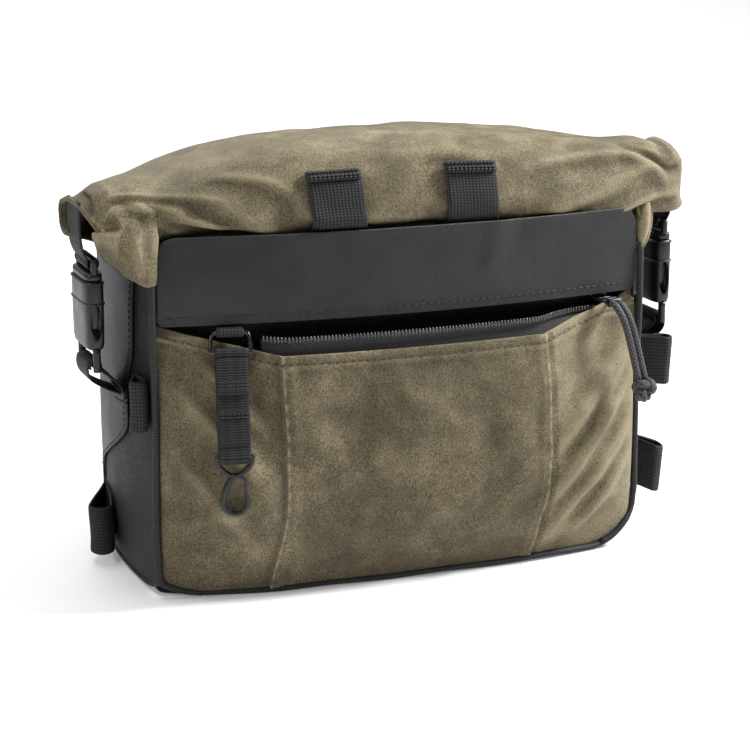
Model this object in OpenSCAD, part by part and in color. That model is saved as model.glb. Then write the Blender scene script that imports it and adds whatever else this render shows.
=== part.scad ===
// Roll-top saddle bag with a curved front pocket, storm flap, side-release buckles and a leash hook.
// X runs across the bag, Y from front (negative) to back, Z up. The origin is the middle of the base.

/* [Bag] */
// Width of the bag at its front and back edges
body_w = 245; // [235:1:250]
// Depth of the bag at its sides
body_d = 99; // [95:1:105]
// Height of the nylon body below the canvas collar
body_h = 158; // [156:0.5:160]
// Height of the collar's rim, where the mouth is
mouth_h = 171; // [168:0.5:171]
// Thickness of the fabric walls
wall = 2; // [1.5:0.1:2]
// How far each side bulges at its middle
side_bulge = 8; // [4:0.5:8]
// Radius of the bag's curved front
front_r = 595; // [590:1:600]
// Depth of the space between the front wall and the storm flap
flap_gap = 8.9; // [8.9:0.1:9.5]

/* [Front pocket] */
// Distance of each pocket seam from the middle
seam_x = 67; // [60:1:70]
// Height of the pocket's lip in the middle
lip_h = 117; // [115:0.5:118]
// How far the pocket stands out at its fullest
pocket_depth = 17; // [12:0.5:17]
// Height at which the pocket is fullest
pocket_full_h = 60; // [50:1:65]
// Thickness of the waxed canvas
canvas = 1.6; // [1:0.1:2]

/* [Storm flap] */
// Thickness of the leather
leather = 1.6; // [1.2:0.1:1.8]
// Height of the flap's lower edge
flap_bottom = 130; // [130:0.5:132]
// Height of the flap's upper edge
flap_top = 166; // [160:0.5:166]
// Half the flap's width
flap_half = 122; // [110:1:122]

/* [Roll top] */
// Half the length of the rolled top
roll_half = 157; // [155:1:160]
// Height of the roll's ridge in the middle
roll_h = 210; // [205:1:212]
// Gap between the collar's rim and the roll
roll_gap = 1; // [1:0.5:3]

/* [Straps and buckles] */
// Width of the webbing in the straps and loops
strap_w = 25; // [24:0.5:26]
// Thickness of the webbing
strap_t = 1.5; // [1.2:0.1:1.6]
// Distance of each buckle's middle from the bag's middle
buckle_x = 146; // [146:0.5:147]
// Depth position of the buckles
buckle_y = -20; // [-21:0.5:-19]
// Width of a buckle
buckle_w = 32; // [31:0.5:33]

/* [Leash] */
// Distance of the leash from the middle, to the left
leash_x = 90; // [89:0.5:91]
// Turn of the leash so that it follows the curved front, in degrees
leash_turn = 12; // [10:1:13]
// Width of the leash webbing
leash_w = 15.5; // [14:0.5:16]

/* [Zip] */
// Distance of the open slider from the middle, to the right
slider_x = 103; // [101:0.5:104]
// Height of the slider's middle
slider_z = 133.5; // [133.5:0.1:134]
// Diameter of the pull cord
cord_d = 3.5; // [3:0.1:3.8]

/* [Hidden] */
// Half width of the front wall, inside the side sheets
front_half_w = 119.5;
// Where the mounting webbing ends in front, under the base
mount_front = 62.5;
// Left and right ends of the zip's lower half
lower_zip_x = [-72, 92];
// Height of the back collar above the nylon
back_collar_h = 30;
// Half the length of the zip's upper half, and its turn to the right in degrees
upper_zip_half = 92;
upper_zip_turn = 2;
// Front and back edges of the leather side patches, and their upper edge
patch_y = [-25, 45];
patch_top = 150;
// Size of the stiff board inside the base and its place
board_at = [-108, -34];
board_size = [216, 78, 2];
// Radius and length of the piping at the front corners
piping_r = 1.5;
piping_len = 150;
// Where the lower teeth ease back to meet the side panel
teeth_ease_x = 74;
teeth_ease = 0.9;

// Places worked out from the driving dimensions
half_w = body_w / 2;
half_d = body_d / 2;
arc_cy = sqrt(front_r * front_r - half_w * half_w) - half_d;   // centre of the curved front
wall_r = front_r - flap_gap - leather + 0.5;                   // outer face of the front wall
flap_r = front_r + 0.5;                                        // outer face of the flap
chain_r = wall_r + 2;                                          // middle of the zip's upper teeth
slider_turn = asin(slider_x / chain_r);
webbing_x = [-38, 30];                                         // daisy loops and mounting webbing
tiny_gap = 0.2;
fine = 96;                                                     // sides of small round shapes
arc_fn = 720;                                                  // sides of the large curved front

// Buckle
buckle_t = 10;
socket_z = [118, 150];
socket_wall = 1.5;
plug_z = 150.8;
bar_r = 1.6;
socket_bar_z = 109.8;
plug_bar_z = 158;
eye_t = 1.5;
eye_bore = 1.9;
arm_w = 3;
arm_inset = 2.8;                                               // from the buckle's edge to an arm
arm_t = 4.4;
arm_z = [127, 150.4];
anchor_z = 184;                                                // where a strap leaves the roll's end
strap_face_x = 150.4;

// Leash, in its own turned frame: x across, y towards the back, z up
leash_y = -62;                                                 // where the frame turns
ring_top = [-58.6, 126.9];
ring_bottom = [-61.6, 118.2];
ring_half = 9.4;
ring_wire = 0.9;
hook_bar = [-74.6, 71.5];
hook_bar_r = 1.5;
hook_t = 3;
gate_root = [4.6, 62];
gate_tip = [5, 51.8];

// Zip pull, in the slider's turned frame: distance from the arc's centre and height
pull_bar_r = 600;
pull_bar_z = 127.1;
// Route of the doubled pull cord's middle line, from the clip down to the knot
cord_route = [[105.6, -60.7, 126.6], [106.3, -64, 126], [107.5, -67, 123], [109.2, -68.8, 118.5],
              [111, -69.8, 112], [113.5, -71, 101], [115.6, -72.8, 90]];
cord_side = [1.8, 0.3, 0];                                     // half the distance between the strands
knot_at = [116.5, -74, 85.5];
knot_r = 6.8;

// ---- shared functions ----
function arc_y(x, r) = arc_cy - sqrt(r * r - x * x);
function smooth(t) = let (c = min(1, max(0, t))) c * c * (3 - 2 * c);
function mix(a, b, t) = a + (b - a) * t;
function unit(v) = v / norm(v);
// Evenly spaced values from a to b
function steps(a, b, n) = [for (i = [0:n]) a + (b - a) * i / n];

// The bulging side of the bag
function fullness(z) = 0.4 + 0.6 * sin(180 * z / 160);
function side_x(y, z) = half_w + side_bulge * (1 - pow(y / half_d, 2)) * fullness(z);

// The pocket stands out from the curved front by an amount that depends on height and place
function edge_fall(x) = let (t = max(0, abs(x) - seam_x) / (half_w - seam_x)) sqrt(max(0, 1 - pow(t, 2.5)));
function lip_out(x) = 8 * (1 - smooth((abs(x) - seam_x + 7) / 30));
function lip_z(x) = min(124.5, lip_h + 14 * pow(max(0, abs(x) - seam_x) / 53, 1.1));
function pocket_out(x, z) = z < pocket_full_h
  ? (2 + (pocket_depth - 2) * sin(90 * z / pocket_full_h)) * edge_fall(x)
  : mix(lip_out(x), pocket_depth * edge_fall(x),
        cos(90 * min(1, (z - pocket_full_h) / (lip_z(x) - pocket_full_h))));
function crown(x, z) = abs(x) < seam_x ? mix(2, 4.5, z / lip_h) * (1 - pow(x / seam_x, 2)) : 0;
function pocket_base(x) = arc_y(max(abs(x), seam_x), front_r);
function pocket_y(x, z) = pocket_base(x) - pocket_out(x, z) - crown(x, z);

// Lower zip teeth follow the lip at a nearly even height
function teeth_z(x) = min(122.3, lip_z(x) + 4.5);
function teeth_y(x) = pocket_y(x, lip_z(x)) + 1.2 + teeth_ease * smooth((x - teeth_ease_x) / 10);

// The rolled top: a rounded section that shrinks towards its ends, a is the angle round it
function roll_front(x) = -60.5 + 18.5 * pow(x / roll_half, 2);
function roll_back(x) = 40 - 42 * smooth((abs(x) - 100) / 41);
function roll_ridge(x) = roll_h - 16 * pow(x / roll_half, 2);
function roll_under(x) = mouth_h + roll_gap + 6 * pow(x / roll_half, 4);
function sgn_pow(v, p) = sign(v) * pow(abs(v), p);
function roll_pt(x, a, grow) =
  let (ry = (roll_back(x) - roll_front(x)) / 2, rz = (roll_ridge(x) - roll_under(x)) / 2,
       y0 = sgn_pow(cos(a), 0.6) * (ry + grow), z0 = sgn_pow(sin(a), 0.7) * (rz + grow),
       lean = max(0, -cos(a)) * 9 * (z0 + rz) / (2 * rz))
  [x, (roll_back(x) + roll_front(x)) / 2 + y0 + lean, (roll_ridge(x) + roll_under(x)) / 2 + z0];

// A flat strip's outline along a path of [u, v] points, t thick
function path_dir(p, i) = unit(p[min(i + 1, len(p) - 1)] - p[max(i - 1, 0)]);
function path_side(p, t) = [for (i = [0:len(p) - 1]) let (d = path_dir(p, i)) p[i] + [-d[1], d[0]] * t];
function strip(p, t) = let (a = path_side(p, t / 2), b = path_side(p, -t / 2))
  concat(a, [for (i = [len(b) - 1:-1:0]) b[i]]);

// A webbing loop seen from above: pointed where it is sewn, round at its tip
function teardrop(len, r) = concat([[0, 0.01]], [for (a = [100:-20:-100]) [len - r + r * cos(a), r * sin(a)]],
                                   [[0, -0.01]]);

// ---- shared modules ----
// A closed sheet between two grids of points; outer faces away from the bag
module sheet(outer, inner) {
  n = len(outer);
  m = len(outer[0]);
  pts = concat([for (row = outer) for (p = row) p], [for (row = inner) for (p = row) p]);
  k = n * m;
  skin = [for (i = [0:n - 2]) for (j = [0:m - 2]) let (a = i * m + j, b = a + 1, c = a + m + 1, d = a + m)
          each [[a, b, c], [a, c, d], [k + a, k + c, k + b], [k + a, k + d, k + c]]];
  ends = [for (j = [0:m - 2]) let (a = j, b = j + 1, c = (n - 1) * m + j, d = c + 1)
          each [[a, k + a, k + b], [a, k + b, b], [c, d, k + d], [c, k + d, k + c]]];
  sides = [for (i = [0:n - 2]) let (a = i * m, b = a + m, c = a + m - 1, d = b + m - 1)
           each [[a, b, k + b], [a, k + b, k + a], [c, k + c, k + d], [c, k + d, d]]];
  polyhedron(pts, concat(skin, ends, sides));
}

// A closed solid through a list of rings, each ring with the same number of points
module loft(rings) {
  n = len(rings);
  m = len(rings[0]);
  pts = [for (ring = rings) for (p = ring) p];
  walls = [for (i = [0:n - 2]) for (j = [0:m - 1]) let (a = i * m + j, b = i * m + (j + 1) % m)
           each [[a, b, b + m], [a, b + m, a + m]]];
  caps = [for (j = [1:m - 2]) each [[0, j + 1, j], [(n - 1) * m, (n - 1) * m + j, (n - 1) * m + j + 1]]];
  polyhedron(pts, concat(walls, caps));
}

// A round tube that follows a route; across is never parallel to it
module tube(route, d, sides, across) {
  last = len(route) - 1;
  loft([for (i = [0:last]) let (t = unit(route[min(i + 1, last)] - route[max(i - 1, 0)]),
        u = unit(cross(t, across)), v = cross(t, u))
        [for (j = [0:sides - 1]) route[i] + (u * cos(360 * j / sides) + v * sin(360 * j / sides)) * d / 2]]);
}

// A wall swept round the curved front
module arc_wall(r0, r1, z0, z1, half) {
  turn = asin(half / r1);
  translate([0, arc_cy, z0]) rotate([0, 0, -90 - turn])
    rotate_extrude(angle = 2 * turn, $fn = arc_fn) translate([r0, 0]) square([r1 - r0, z1 - z0]);
}

module rounded_square(w, h, r) {
  square([w - 2 * r, h], center = true);
  square([w, h - 2 * r], center = true);
  for (x = [-1, 1]) for (y = [-1, 1]) translate([x * (w / 2 - r), y * (h / 2 - r)]) circle(r, $fn = fine);
}

// A bar along Y, centred
module y_bar(r, len) rotate([90, 0, 0]) cylinder(r = r, h = len, center = true, $fn = fine);
module x_bar(r, len) rotate([0, 90, 0]) cylinder(r = r, h = len, center = true, $fn = fine);

// Webbing wrapped round a bar: an eye that runs along Y
module strap_eye(bore, t, w) difference() {
  y_bar(bore + t, w);
  y_bar(bore, w + 1);
}

module from_front(y0, y1) translate([0, y1, 0]) rotate([90, 0, 0]) linear_extrude(y1 - y0) children();
module mirrored(left) mirror([left ? 1 : 0, 0, 0]) children();
module in_leash_frame() translate([-leash_x, leash_y, 0]) rotate([0, 0, -leash_turn])
  translate([0, -leash_y, 0]) children();
// The slider's frame: x along the zip, y away from the arc's centre towards the front is negative
module in_slider_frame() translate([0, arc_cy, 0]) rotate([0, 0, slider_turn]) children();
module radial_box(x, r0, r1, z0, z1) translate([-x, -r1, z0]) cube([2 * x, r1 - r0, z1 - z0]);

// ---- nylon body ----
module base_outline() polygon(concat(
  [for (x = steps(-half_w, half_w, 24)) [x, pocket_y(x, wall)]],
  [for (y = steps(-half_d, half_d, 10)) [side_x(y, 0), y]],
  [for (y = steps(half_d, -half_d, 10)) [-side_x(y, 0), y]]));

module bottom_panel() color([0.09, 0.09, 0.1]) difference() {
  linear_extrude(wall) base_outline();
  for (x = webbing_x) translate([x - strap_w / 2 - tiny_gap, -mount_front - tiny_gap, -1])
    cube([strap_w + 2 * tiny_gap, body_d + mount_front, 1 + strap_t - 0.3]);
}

module base_board() color([0.15, 0.15, 0.15])
  translate([board_at[0], board_at[1], wall + tiny_gap]) cube(board_size);

module front_panel() color([0.1, 0.1, 0.11]) arc_wall(wall_r - wall, wall_r, wall, body_h, front_half_w);
module front_collar() color([0.5, 0.42, 0.27])
  arc_wall(wall_r - wall, wall_r, body_h + tiny_gap / 2, mouth_h, front_half_w);

module back_panel() color([0.09, 0.09, 0.1])
  translate([-half_w + wall + tiny_gap, half_d - wall, wall])
    cube([body_w - 2 * (wall + tiny_gap), wall, body_h - wall]);
module back_collar() color([0.5, 0.42, 0.27])
  translate([-half_w + wall + tiny_gap, half_d - wall, body_h])
    cube([body_w - 2 * (wall + tiny_gap), wall, back_collar_h]);

// Part of the right side wall between two heights
module side_sheet(z0, z1, n) {
  ys = steps(-half_d + canvas + 0.1, half_d, 10);
  sheet([for (y = ys) [for (z = steps(z0, z1, n)) [side_x(y, z), y, z]]],
        [for (y = ys) [for (z = steps(z0, z1, n)) [side_x(y, z) - wall, y, z]]]);
}
module side_panel(left) color([0.1, 0.1, 0.11]) mirrored(left) side_sheet(wall, body_h, 10);
module side_collar(left) color([0.5, 0.42, 0.27]) mirrored(left) side_sheet(body_h, mouth_h, 2);

// Leather patch on the side, its lower edge sloping down to the back
function patch_low_z(y) = 80 - 46 * (y - patch_y[0]) / (patch_y[1] - patch_y[0]);
module side_patch(left) color([0.2, 0.2, 0.21]) mirrored(left) {
  ys = steps(patch_y[0], patch_y[1], 7);
  sheet([for (y = ys) [for (z = steps(patch_low_z(y), patch_top, 8)) [side_x(y, z) + tiny_gap + 1.2, y, z]]],
        [for (y = ys) [for (z = steps(patch_low_z(y), patch_top, 8)) [side_x(y, z) + tiny_gap, y, z]]]);
}

module piping(left) color([0.05, 0.05, 0.05]) mirrored(left)
  translate([half_w + 1.3, -half_d - 2, wall]) cylinder(r = piping_r, h = piping_len, $fn = fine);

// Webbing that lies in a groove under the base and runs up the back, with a step at the edge
module mount_webbing(x) color([0.07, 0.07, 0.08])
  translate([x + strap_w / 2, 0, 0]) rotate([90, 0, -90]) linear_extrude(strap_w)
    polygon(strip([[mount_front, 0.6], [-half_d - 0.2, 0.6], [-half_d - 0.9, 1.4], [-half_d - 0.9, 140]], 1.2));

// ---- front pocket ----
module pocket_panel(x0, x1, n) {
  ts = steps(0, 1, 14);
  xs = steps(x0, x1, n);
  function z_at(x, t) = mix(wall, lip_z(x), t);
  sheet([for (x = xs) [for (t = ts) [x, pocket_y(x, z_at(x, t)), z_at(x, t)]]],
        [for (x = xs) [for (t = ts) [x, pocket_y(x, z_at(x, t)) + canvas, z_at(x, t)]]]);
}
module pocket_centre_panel() color([0.45, 0.38, 0.25]) pocket_panel(-seam_x + 0.05, seam_x - 0.05, 12);
module pocket_side_panel(left) color([0.48, 0.4, 0.26]) mirrored(left) pocket_panel(seam_x + 0.05, half_w - 0.05, 8);

// The zip's lower tape stands behind the lip and carries the teeth along its top
function tape_low(x) = [x, pocket_y(x, lip_z(x) - 4) + canvas + 0.8, lip_z(x) - 4];
function tape_high(x) = [x, teeth_y(x) + 1.2, teeth_z(x) - 1.5];
module lower_zip_tape() color([0.04, 0.04, 0.04]) {
  xs = steps(lower_zip_x[0], lower_zip_x[1], 24);
  sheet([for (x = xs) [tape_low(x), tape_high(x)]],
        [for (x = xs) [tape_low(x) + [0, 1, 0], tape_high(x) + [0, 1, 0]]]);
}
module lower_zip_teeth() color([0.12, 0.12, 0.13]) {
  xs = steps(lower_zip_x[0], lower_zip_x[1], 24);
  sheet([for (x = xs) [[x, teeth_y(x), teeth_z(x) - 1.2], [x, teeth_y(x), teeth_z(x) + 1.2]]],
        [for (x = xs) [[x, teeth_y(x) + 2.4, teeth_z(x) - 1.2], [x, teeth_y(x) + 2.4, teeth_z(x) + 1.2]]]);
}

// The upper tape is sewn to the front wall; its teeth hang from its lower edge
module upper_zip_tape() color([0.04, 0.04, 0.04]) rotate_about_arc(upper_zip_turn) {
  arc_wall(chain_r - 0.4, chain_r + 0.4, slider_z + 2, slider_z + 14, upper_zip_half);
  arc_wall(wall_r, chain_r + 0.4, slider_z + 8, slider_z + 14, upper_zip_half);
}
module upper_zip_teeth() color([0.12, 0.12, 0.13]) rotate_about_arc(upper_zip_turn)
  arc_wall(chain_r - 0.8, chain_r + 0.8, slider_z - 1, slider_z + 2, upper_zip_half);
module rotate_about_arc(turn) translate([0, arc_cy, 0]) rotate([0, 0, turn]) translate([0, -arc_cy, 0]) children();

module zip_slider() color([0.1, 0.1, 0.1]) in_slider_frame() {
  radial_box(5.5, wall_r + 0.4, wall_r + 1, slider_z - 5, slider_z + 5);
  radial_box(5.5, chain_r + 1.2, chain_r + 2.2, slider_z - 2.3, slider_z + 5);
  radial_box(2, wall_r + 1, chain_r + 1.2, slider_z - 3.3, slider_z - 1.5);
  for (x = [-4, 4]) translate([x, 0, 0]) {
    radial_box(0.6, chain_r + 1.2, chain_r + 3.4, 126.3, slider_z - 2.3);
    radial_box(0.6, chain_r + 1.2, pull_bar_r + 0.8, 126.3, 127.9);
  }
  radial_box(4.6, chain_r + 1.2, chain_r + 8, 126.3, 127.9);
  translate([0, -pull_bar_r, pull_bar_z]) x_bar(0.7, 8.2);
}

// ---- zip pull ----
module pull_clip() color([0.08, 0.08, 0.08]) in_slider_frame() difference() {
  union() {
    translate([0, -pull_bar_r, pull_bar_z]) x_bar(1.7, 6.2);
    radial_box(3.1, pull_bar_r, 601.6, 125.8, 127.4);
    radial_box(3.7, 601.6, 604.2, 124.7, 128.5);
  }
  translate([0, -pull_bar_r, pull_bar_z]) x_bar(0.8, 8);
}
module pull_strand(side) color([0.12, 0.12, 0.13])
  tube([for (p = cord_route) p + cord_side * side], cord_d, 8, [1, 0, 0]);
module pull_knot() color([0.12, 0.12, 0.13]) translate(knot_at) sphere(knot_r, $fn = 48);

// ---- storm flap ----
module flap() color([0.2, 0.2, 0.21]) intersection() {
  arc_wall(flap_r - leather, flap_r, flap_bottom, flap_top, flap_half);
  translate([0, 0, (flap_bottom + flap_top) / 2]) rotate([90, 0, 0]) linear_extrude(100)
    rounded_square(2 * flap_half - 0.1, flap_top - flap_bottom + 0.2, 6);
}

// ---- leash ----
module leash_strip(p, t, w) translate([w / 2, 0, 0]) rotate([90, 0, -90]) linear_extrude(w)
  polygon(strip([for (q = p) [-q[0], q[1]]], t));

module leash_tab() color([0.06, 0.06, 0.06]) in_leash_frame() difference() {
  union() {
    leash_strip([[-46.4, 148], [-46.8, 134], [-49.5, 129.4], [-54, 127.4], [-57.4, 126.4]], 1.2, 13);
    translate([0, ring_top[0], ring_top[1]]) x_bar(2.2, 13);
  }
  translate([0, ring_top[0], ring_top[1]]) x_bar(1.15, 14);
}
module leash_ring() color([0.05, 0.05, 0.055]) in_leash_frame() {
  fall = ring_top - ring_bottom;
  for (p = [ring_top, ring_bottom]) translate([0, p[0], p[1]]) x_bar(ring_wire, 2 * ring_half);
  for (x = [-ring_half, ring_half]) translate([x, ring_bottom[0], ring_bottom[1]])
    rotate([atan2(-fall[0], fall[1]), 0, 0]) translate([-0.7, -0.8, -1]) cube([1.4, 1.6, norm(fall) + 2]);
}
module leash_webbing() color([0.14, 0.14, 0.15]) in_leash_frame() difference() {
  union() {
    leash_strip([ring_bottom + [-0.5, -1.5], hook_bar + [0.5, 2]], 2.4, leash_w);
    translate([0, ring_bottom[0], ring_bottom[1]]) x_bar(2.3, leash_w);
    translate([0, hook_bar[0], hook_bar[1]]) x_bar(2.9, 13.5);
  }
  translate([0, ring_bottom[0], ring_bottom[1]]) x_bar(1.15, leash_w + 1);
  translate([0, hook_bar[0], hook_bar[1]]) x_bar(1.75, leash_w + 1);
}

// The hook's outline hangs from its bar: shoulders, a neck and a long J
module hook_outline() difference() {
  union() {
    polygon([[-9.3, 72.6], [-6.9, 72.6], [-6.9, 69], [-3, 64.2], [3, 64.2], [6.9, 69], [6.9, 72.6], [9.3, 72.6],
             [9.3, 68.6], [4.4, 62.6], [-4.4, 62.6], [-9.3, 68.6]]);
    translate([0, 60]) circle(4.8, $fn = fine);
    polygon([[-4.8, 60], [4.8, 60], [7, 50.7], [-7, 50.7]]);
    translate([0, 50.7]) circle(7, $fn = fine);
  }
  translate([0, 58.8]) circle(2.2, $fn = fine);
  polygon([[-2.2, 58.8], [2.2, 58.8], [4.4, 50.7], [-4.4, 50.7]]);
  translate([0, 50.7]) circle(4.4, $fn = fine);
  polygon([[1.9, 62.9], [9, 62.9], [9, 53], [6.4, 53], [5.8, 50.7], [4.2, 50.7], [2, 58.8]]);
}
module leash_hook() color([0.07, 0.07, 0.07]) in_leash_frame() {
  from_front(hook_bar[0] - hook_t / 2, hook_bar[0] + hook_t / 2) difference() {
    hook_outline();
    translate([0, 71.5]) square([13.8, 6.4], center = true);
  }
  translate([0, hook_bar[0], hook_bar[1]]) x_bar(hook_bar_r, 18.4);
}
// The springy tongue that closes the hook
module hook_gate() color([0.07, 0.07, 0.07]) in_leash_frame()
  from_front(hook_bar[0] - 1.1, hook_bar[0] + 1.1)
    polygon(strip([gate_root + [-1, 0.3], mix(gate_root, gate_tip, 0.3) + [0.3, 0], gate_tip], 1.6));

// ---- rolled top ----
module roll_canvas() color([0.52, 0.43, 0.28]) difference() {
  loft([for (x = steps(-roll_half, roll_half, 28)) [for (a = [360:-15:15]) roll_pt(x, a, 0)]]);
  translate([-strap_face_x + 1, buckle_y - 13, anchor_z - 1.3]) cube([2 * strap_face_x - 2, 26, 2.6]);
  for (s = [-1, 1]) translate([s * (strap_face_x - 1 + 5), 0, anchor_z - 7])
    cube([10, 67, 40], center = true);
}
module roll_stiffener() color([0.08, 0.08, 0.08])
  translate([-149, buckle_y - 12.5, anchor_z - 1]) cube([298, 25, 2]);
// Webbing sewn across the front of the roll
module daisy_loop(x) color([0.06, 0.06, 0.06]) {
  xs = steps(x - strap_w / 2, x + strap_w / 2, 4);
  turns = steps(146, 205, 8);
  sheet([for (u = xs) [for (a = turns) roll_pt(u, a, 2)]], [for (u = xs) [for (a = turns) roll_pt(u, a, 0.4)]]);
}

// ---- straps and buckles, drawn on the right ----
module roll_strap(left) color([0.16, 0.16, 0.17]) mirrored(left) {
  translate([buckle_x, buckle_y, plug_bar_z]) strap_eye(eye_bore, eye_t, strap_w);
  difference() {
    translate([0, buckle_y + strap_w / 2, 0]) rotate([90, 0, 0]) linear_extrude(strap_w)
      polygon(strip([[buckle_x + 2.4, plug_bar_z + 0.5], [strap_face_x - 0.6, 163], [strap_face_x + 0.75, 170],
                     [strap_face_x + 0.75, anchor_z + 2]], strap_t));
    translate([buckle_x, buckle_y, plug_bar_z]) y_bar(eye_bore, strap_w + 1);
  }
}
module socket_strap(left) color([0.16, 0.16, 0.17]) mirrored(left) difference() {
  union() {
    translate([buckle_x, buckle_y, socket_bar_z]) y_bar(eye_bore + eye_t, strap_w);
    translate([0, buckle_y + strap_w / 2, 0]) rotate([90, 0, 0]) linear_extrude(strap_w)
      polygon(strip([[132.4, 82], [132.6, 96], [136, 101.5], [buckle_x - 2.2, socket_bar_z - 2]], strap_t));
  }
  translate([buckle_x, buckle_y, socket_bar_z]) y_bar(eye_bore, strap_w + 1);
}
module buckle_ends(z0, z1) for (s = [-1, 1])
  translate([buckle_x - 2.2, buckle_y + s * (strap_w / 2 + 1.8) - 1.1, z0]) cube([4.4, 2.2, z1 - z0]);

module buckle_socket(left) color([0.06, 0.06, 0.06]) mirrored(left) {
  difference() {
    translate([buckle_x, buckle_y, socket_z[0]]) linear_extrude(socket_z[1] - socket_z[0])
      rounded_square(buckle_t, buckle_w, 3);
    translate([buckle_x, buckle_y, socket_z[0] + 3]) linear_extrude(40)
      rounded_square(buckle_t - 2 * socket_wall - 1, buckle_w - 2 * socket_wall, 1);
    translate([buckle_x - 2.8, buckle_y - buckle_w / 2 - 1, 124]) cube([5.6, buckle_w + 2, 14]);
  }
  buckle_ends(socket_bar_z - 2, socket_z[0]);
  translate([buckle_x, buckle_y, socket_bar_z]) y_bar(bar_r, strap_w + 5);
}
module buckle_plug(left) color([0.05, 0.05, 0.06]) mirrored(left) {
  translate([buckle_x, buckle_y, plug_z]) linear_extrude(3) rounded_square(buckle_t - 1, buckle_w - 1, 3);
  translate([buckle_x - 2.2, buckle_y - 2.5, 128]) cube([4.4, 5, plug_z - 128]);
  buckle_ends(plug_z + 3, plug_bar_z + 2);
  translate([buckle_x, buckle_y, plug_bar_z]) y_bar(bar_r, strap_w + 5);
}
module buckle_arm(left, rear) color([0.05, 0.05, 0.06]) mirrored(left)
  translate([buckle_x - arm_t / 2, buckle_y + (rear ? 1 : -1) * (buckle_w / 2 - arm_inset - arm_w / 2) - arm_w / 2,
             arm_z[0]])
    cube([arm_t, arm_w, arm_z[1] - arm_z[0]]);

// ---- webbing loops, each placed where it is sewn and turned to where it points ----
module web_loop(at, to, r, z) {
  reach = to - at;
  color([0.1, 0.1, 0.1]) translate([at[0], at[1], z]) rotate([0, 0, atan2(reach[1], reach[0])])
    linear_extrude(strap_w) difference() {
      polygon(teardrop(norm(reach), r));
      translate([5, 0]) polygon(teardrop(norm(reach) - 5 - strap_t, r - strap_t));
    }
}

bottom_panel();
base_board();
front_panel();
back_panel();
side_panel(true);  // left_side_panel
side_panel(false);  // right_side_panel
pocket_centre_panel();
pocket_side_panel(true);  // pocket_left_panel
pocket_side_panel(false);  // pocket_right_panel
front_collar();
back_collar();
side_collar(true);  // left_collar
side_collar(false);  // right_collar
upper_zip_tape();
upper_zip_teeth();
lower_zip_tape();
lower_zip_teeth();
side_patch(true);  // left_side_patch
side_patch(false);  // right_side_patch
web_loop([-129, -33.4], [-131.5, -53], 4.9, 78);  // left_upper_loop
web_loop([127.5, -34.8], [149.5, -38.5], 4.9, 78);  // right_upper_loop
web_loop([-125.3, 41], [-137, 5], 6.5, 7);  // left_lower_loop
web_loop([129.5, -8], [155, -22], 5.5, 16);  // right_lower_loop
buckle_socket(true);  // left_buckle_socket
buckle_socket(false);  // right_buckle_socket
socket_strap(true);  // left_socket_strap
socket_strap(false);  // right_socket_strap
piping(true);  // left_piping
piping(false);  // right_piping
mount_webbing(webbing_x[0]);  // left_mount_webbing
mount_webbing(webbing_x[1]);  // right_mount_webbing
leash_tab();
flap();
zip_slider();
pull_clip();
pull_strand(-1);  // pull_cord_left
pull_strand(1);  // pull_cord_right
pull_knot();
leash_ring();
leash_webbing();
leash_hook();
hook_gate();
roll_canvas();
roll_stiffener();
daisy_loop(webbing_x[0]);  // left_daisy_loop
daisy_loop(webbing_x[1]);  // right_daisy_loop
roll_strap(true);  // left_roll_strap
roll_strap(false);  // right_roll_strap
buckle_plug(true);  // left_buckle_plug
buckle_plug(false);  // right_buckle_plug
buckle_arm(true, false);  // left_front_arm
buckle_arm(true, true);  // left_rear_arm
buckle_arm(false, false);  // right_front_arm
buckle_arm(false, true);  // right_rear_arm
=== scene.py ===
import math

import bpy
import bmesh
from mathutils import Matrix, Vector, noise


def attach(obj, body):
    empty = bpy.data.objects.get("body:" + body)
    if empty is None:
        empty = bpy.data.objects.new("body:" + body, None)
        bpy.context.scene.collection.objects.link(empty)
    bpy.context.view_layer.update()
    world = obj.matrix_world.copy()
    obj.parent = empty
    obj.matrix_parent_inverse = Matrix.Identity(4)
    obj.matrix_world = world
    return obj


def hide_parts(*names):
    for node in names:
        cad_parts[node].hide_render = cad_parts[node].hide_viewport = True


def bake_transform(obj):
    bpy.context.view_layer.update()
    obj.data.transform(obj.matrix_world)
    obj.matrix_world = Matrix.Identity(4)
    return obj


# Looks of a roll-top saddle bag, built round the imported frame. Shapes are worked out in millimetres
# in the frame's own axes (X right, Y back, Z up) and turned into metres where a mesh is made.
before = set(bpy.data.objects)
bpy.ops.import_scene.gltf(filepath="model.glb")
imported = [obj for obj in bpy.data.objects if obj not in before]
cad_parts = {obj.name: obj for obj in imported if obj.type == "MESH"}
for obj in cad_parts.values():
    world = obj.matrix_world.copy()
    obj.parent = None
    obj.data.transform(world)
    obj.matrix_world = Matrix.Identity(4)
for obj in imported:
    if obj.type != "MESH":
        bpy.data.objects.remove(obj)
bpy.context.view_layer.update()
MM = 0.001

# ---- driving dimensions in millimetres, the same as the part's ----
HALF_W, HALF_D = 122.5, 49.5
FRONT_R = 595.0
ARC_CY = math.sqrt(FRONT_R ** 2 - HALF_W ** 2) - HALF_D
WALL_R, FLAP_R, CHAIN_R = 585.0, 595.5, 587.0
NYLON_TOP, COLLAR_TOP = 158.0, 171.0
SEAM_X, LIP_H, POCKET_DEPTH, FULL_H = 67.0, 117.0, 17.0, 60.0
LIP_RISE, LIP_RUN = 14.0, 53.0
SIDE_BULGE = 8.0
FLAP_LOW, FLAP_TOP, FLAP_HALF, SEWN_Z = 130.0, 171.5, 121.8, 134.2
ROLL_HALF, ROLL_H, ROLL_UNDER = 157.0, 210.0, 164.5
STRAP_W, STRAP_T = 25.0, 1.5
WEBBING_AT = (("left", -38.0), ("right", 30.0))
BUCKLE_X, BUCKLE_Y = 146.0, -20.0
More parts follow.
